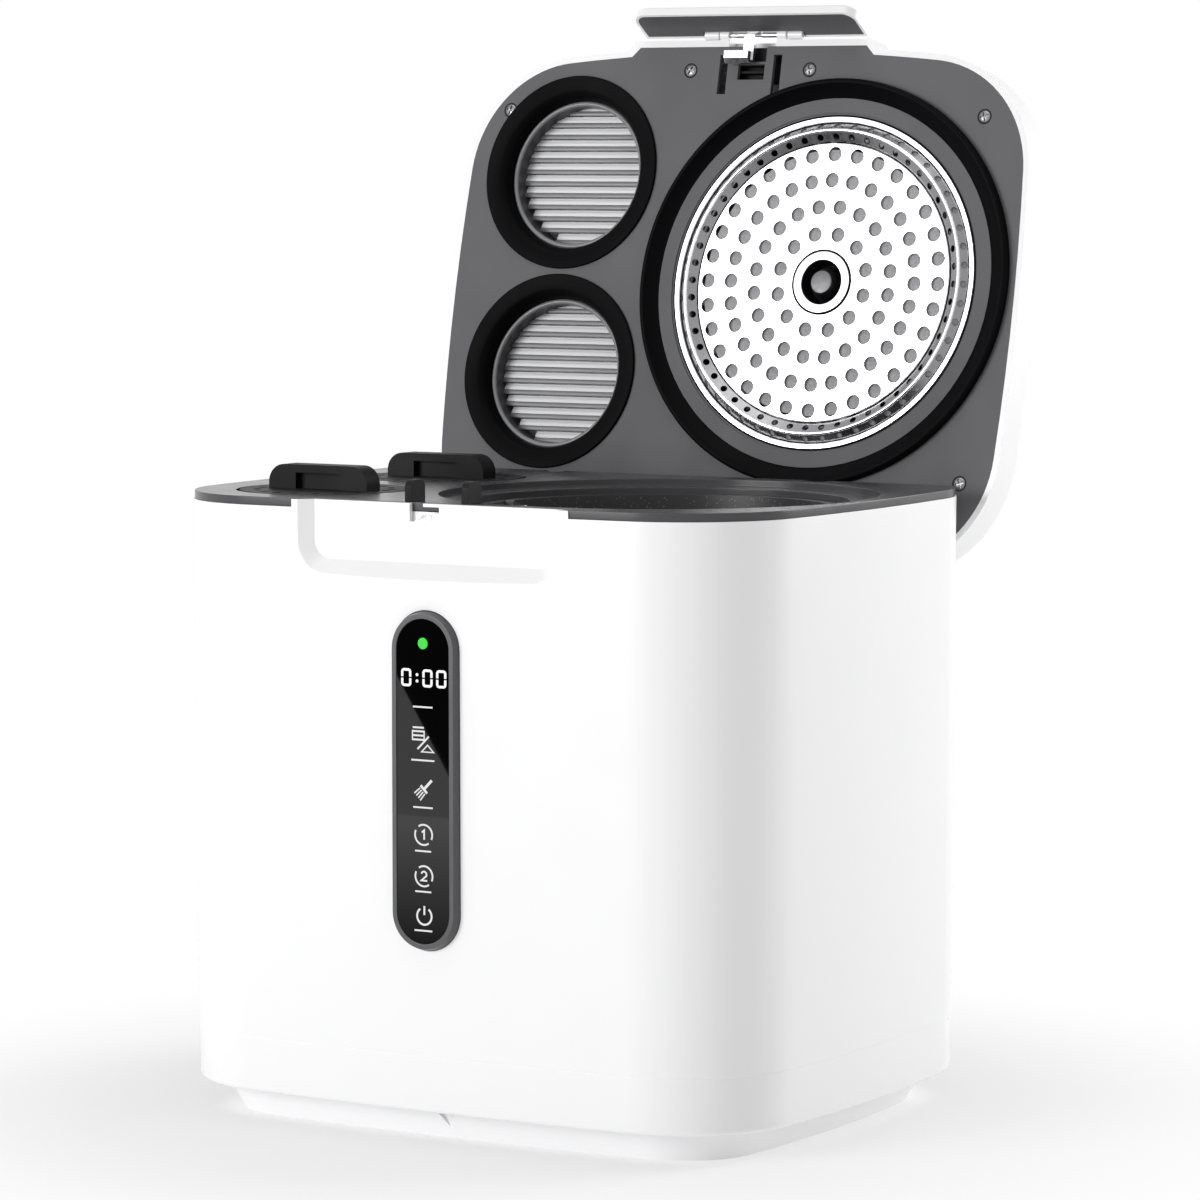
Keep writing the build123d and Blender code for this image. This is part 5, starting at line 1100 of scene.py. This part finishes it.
def floorMaterial():
    # Plain white floor that keeps the shadow near the object and fades to pure white.
    material, tree = startMaterial("whiteFloor")
    coords = addNode(tree, "ShaderNodeTexCoord")
    length = addNode(tree, "ShaderNodeVectorMath", {
        0: coords.outputs["Object"],
    }, operation="LENGTH")
    far = addNode(tree, "ShaderNodeMapRange", {
        "Value": length.outputs["Value"], "From Min": 0.13, "From Max": 0.42, "To Min": 0.38,
    }, interpolation_type="SMOOTHSTEP")
    matt = addNode(tree, "ShaderNodeBsdfDiffuse", {"Color": hexColor("#F4F4F4")})
    glow = addNode(tree, "ShaderNodeEmission", {"Color": (1, 1, 1, 1), "Strength": 1.0})
    mix = addNode(tree, "ShaderNodeMixShader", {
        0: far.outputs["Result"], 1: matt.outputs["BSDF"], 2: glow.outputs["Emission"],
    })
    addNode(tree, "ShaderNodeOutputMaterial", {"Surface": mix.outputs["Shader"]})
    return material


def makeFloor():
    mesh = bpy.data.meshes.new("floor")
    half = 6.0
    corners = [(-half, -half, 0), (half, -half, 0), (half, half, 0), (-half, half, 0)]
    mesh.from_pydata(corners, [], [(0, 1, 2, 3)])
    mesh.materials.append(floorMaterial())
    linked("floor", mesh)


def makeWorld():
    # White to the camera and in reflections and glass, and a quarter of that as light.
    world = bpy.data.worlds.new("studio")
    bpy.context.scene.world = world
    world.use_nodes = True
    tree = world.node_tree
    tree.nodes.clear()
    path = addNode(tree, "ShaderNodeLightPath")
    mirrored = addNode(tree, "ShaderNodeMath", {
        0: path.outputs["Is Camera Ray"], 1: path.outputs["Is Glossy Ray"],
    }, operation="MAXIMUM")
    seen = addNode(tree, "ShaderNodeMath", {
        0: mirrored.outputs["Value"], 1: path.outputs["Is Transmission Ray"],
    }, operation="MAXIMUM")
    level = addNode(tree, "ShaderNodeMapRange", {
        "Value": seen.outputs["Value"], "To Min": 0.25, "To Max": 1.0,
    })
    light = addNode(tree, "ShaderNodeBackground", {
        "Color": (1, 1, 1, 1), "Strength": level.outputs["Result"],
    })
    addNode(tree, "ShaderNodeOutputWorld", {"Surface": light.outputs["Background"]})


def addSoftbox(name, at, aim, size, watts):
    data = bpy.data.lights.new(name, "AREA")
    data.shape = "RECTANGLE"
    data.size, data.size_y = size
    data.energy = watts
    lamp = linked(name, data)
    lamp.location = at
    lamp.rotation_mode = "QUATERNION"
    lamp.rotation_quaternion = (Vector(aim) - Vector(at)).to_track_quat("-Z", "Y")
    lamp.visible_camera = False


studioCards = {
    # corners in millimetres, colour, and where along an axis the light goes from what to what
    "flagCard": {
        "corners": [(-700, -1140, 148), (-669.5, -1140, 99.7), (-626.2, -1140, 30.8),
                    (-560, -1140, -1), (-560, -1140, 400), (-700, -1140, 400)],
        "color": "#000000", "axis": "X", "from": (0, 0.0), "to": (100, 0.0),
    },
    "gradedCard": {
        "corners": [(-760, -1139, 1), (-250, -1139, 1), (-250, -600, 1), (-760, -600, 1)],
        "color": "#FFFFFF", "axis": "Y", "from": (-1100, 1.35), "to": (-640, 0.2),
    },
}


def makeCards():
    # A black flag and a graded grey sheet, seen only in reflections.
    for name, card in studioCards.items():
        mesh = bpy.data.meshes.new(name)
        corners = [[c * mm for c in corner] for corner in card["corners"]]
        mesh.from_pydata(corners, [], [tuple(range(len(corners)))])
        material, tree = startMaterial(name)
        coords = addNode(tree, "ShaderNodeTexCoord")
        parts = addNode(tree, "ShaderNodeSeparateXYZ", {"Vector": coords.outputs["Object"]})
        level = addNode(tree, "ShaderNodeMapRange", {
            "Value": parts.outputs[card["axis"]],
            "From Min": card["from"][0] * mm, "From Max": card["to"][0] * mm,
            "To Min": card["from"][1], "To Max": card["to"][1],
        })
        glow = addNode(tree, "ShaderNodeEmission", {
            "Color": hexColor(card["color"]), "Strength": level.outputs["Result"],
        })
        addNode(tree, "ShaderNodeOutputMaterial", {"Surface": glow.outputs["Emission"]})
        mesh.materials.append(material)
        sheet = linked(name, mesh)
        for ray in ("camera", "diffuse", "transmission", "volume_scatter", "shadow"):
            setattr(sheet, "visible_" + ray, False)


softboxes = {
    # name: place, what it faces, width and height, watts
    "keyLeft": ((-1.5, -3.0, 0.9), (0, 0, 0.2), (1.8, 1.4), 66),
    "fillRight": ((1.4, 1.6, 0.9), (0, 0, 0.25), (1.2, 1.2), 30),
    "top": ((0, -0.4, 2.8), (0, 0, 0.2), (1.8, 1.8), 16),
}
makeCamera()
makeFloor()
makeWorld()
makeCards()
for name, (at, aim, size, watts) in softboxes.items():
    addSoftbox(name, at, aim, size, watts)
bpy.context.scene.view_settings.view_transform = "Standard"
print("camera, floor and light made")
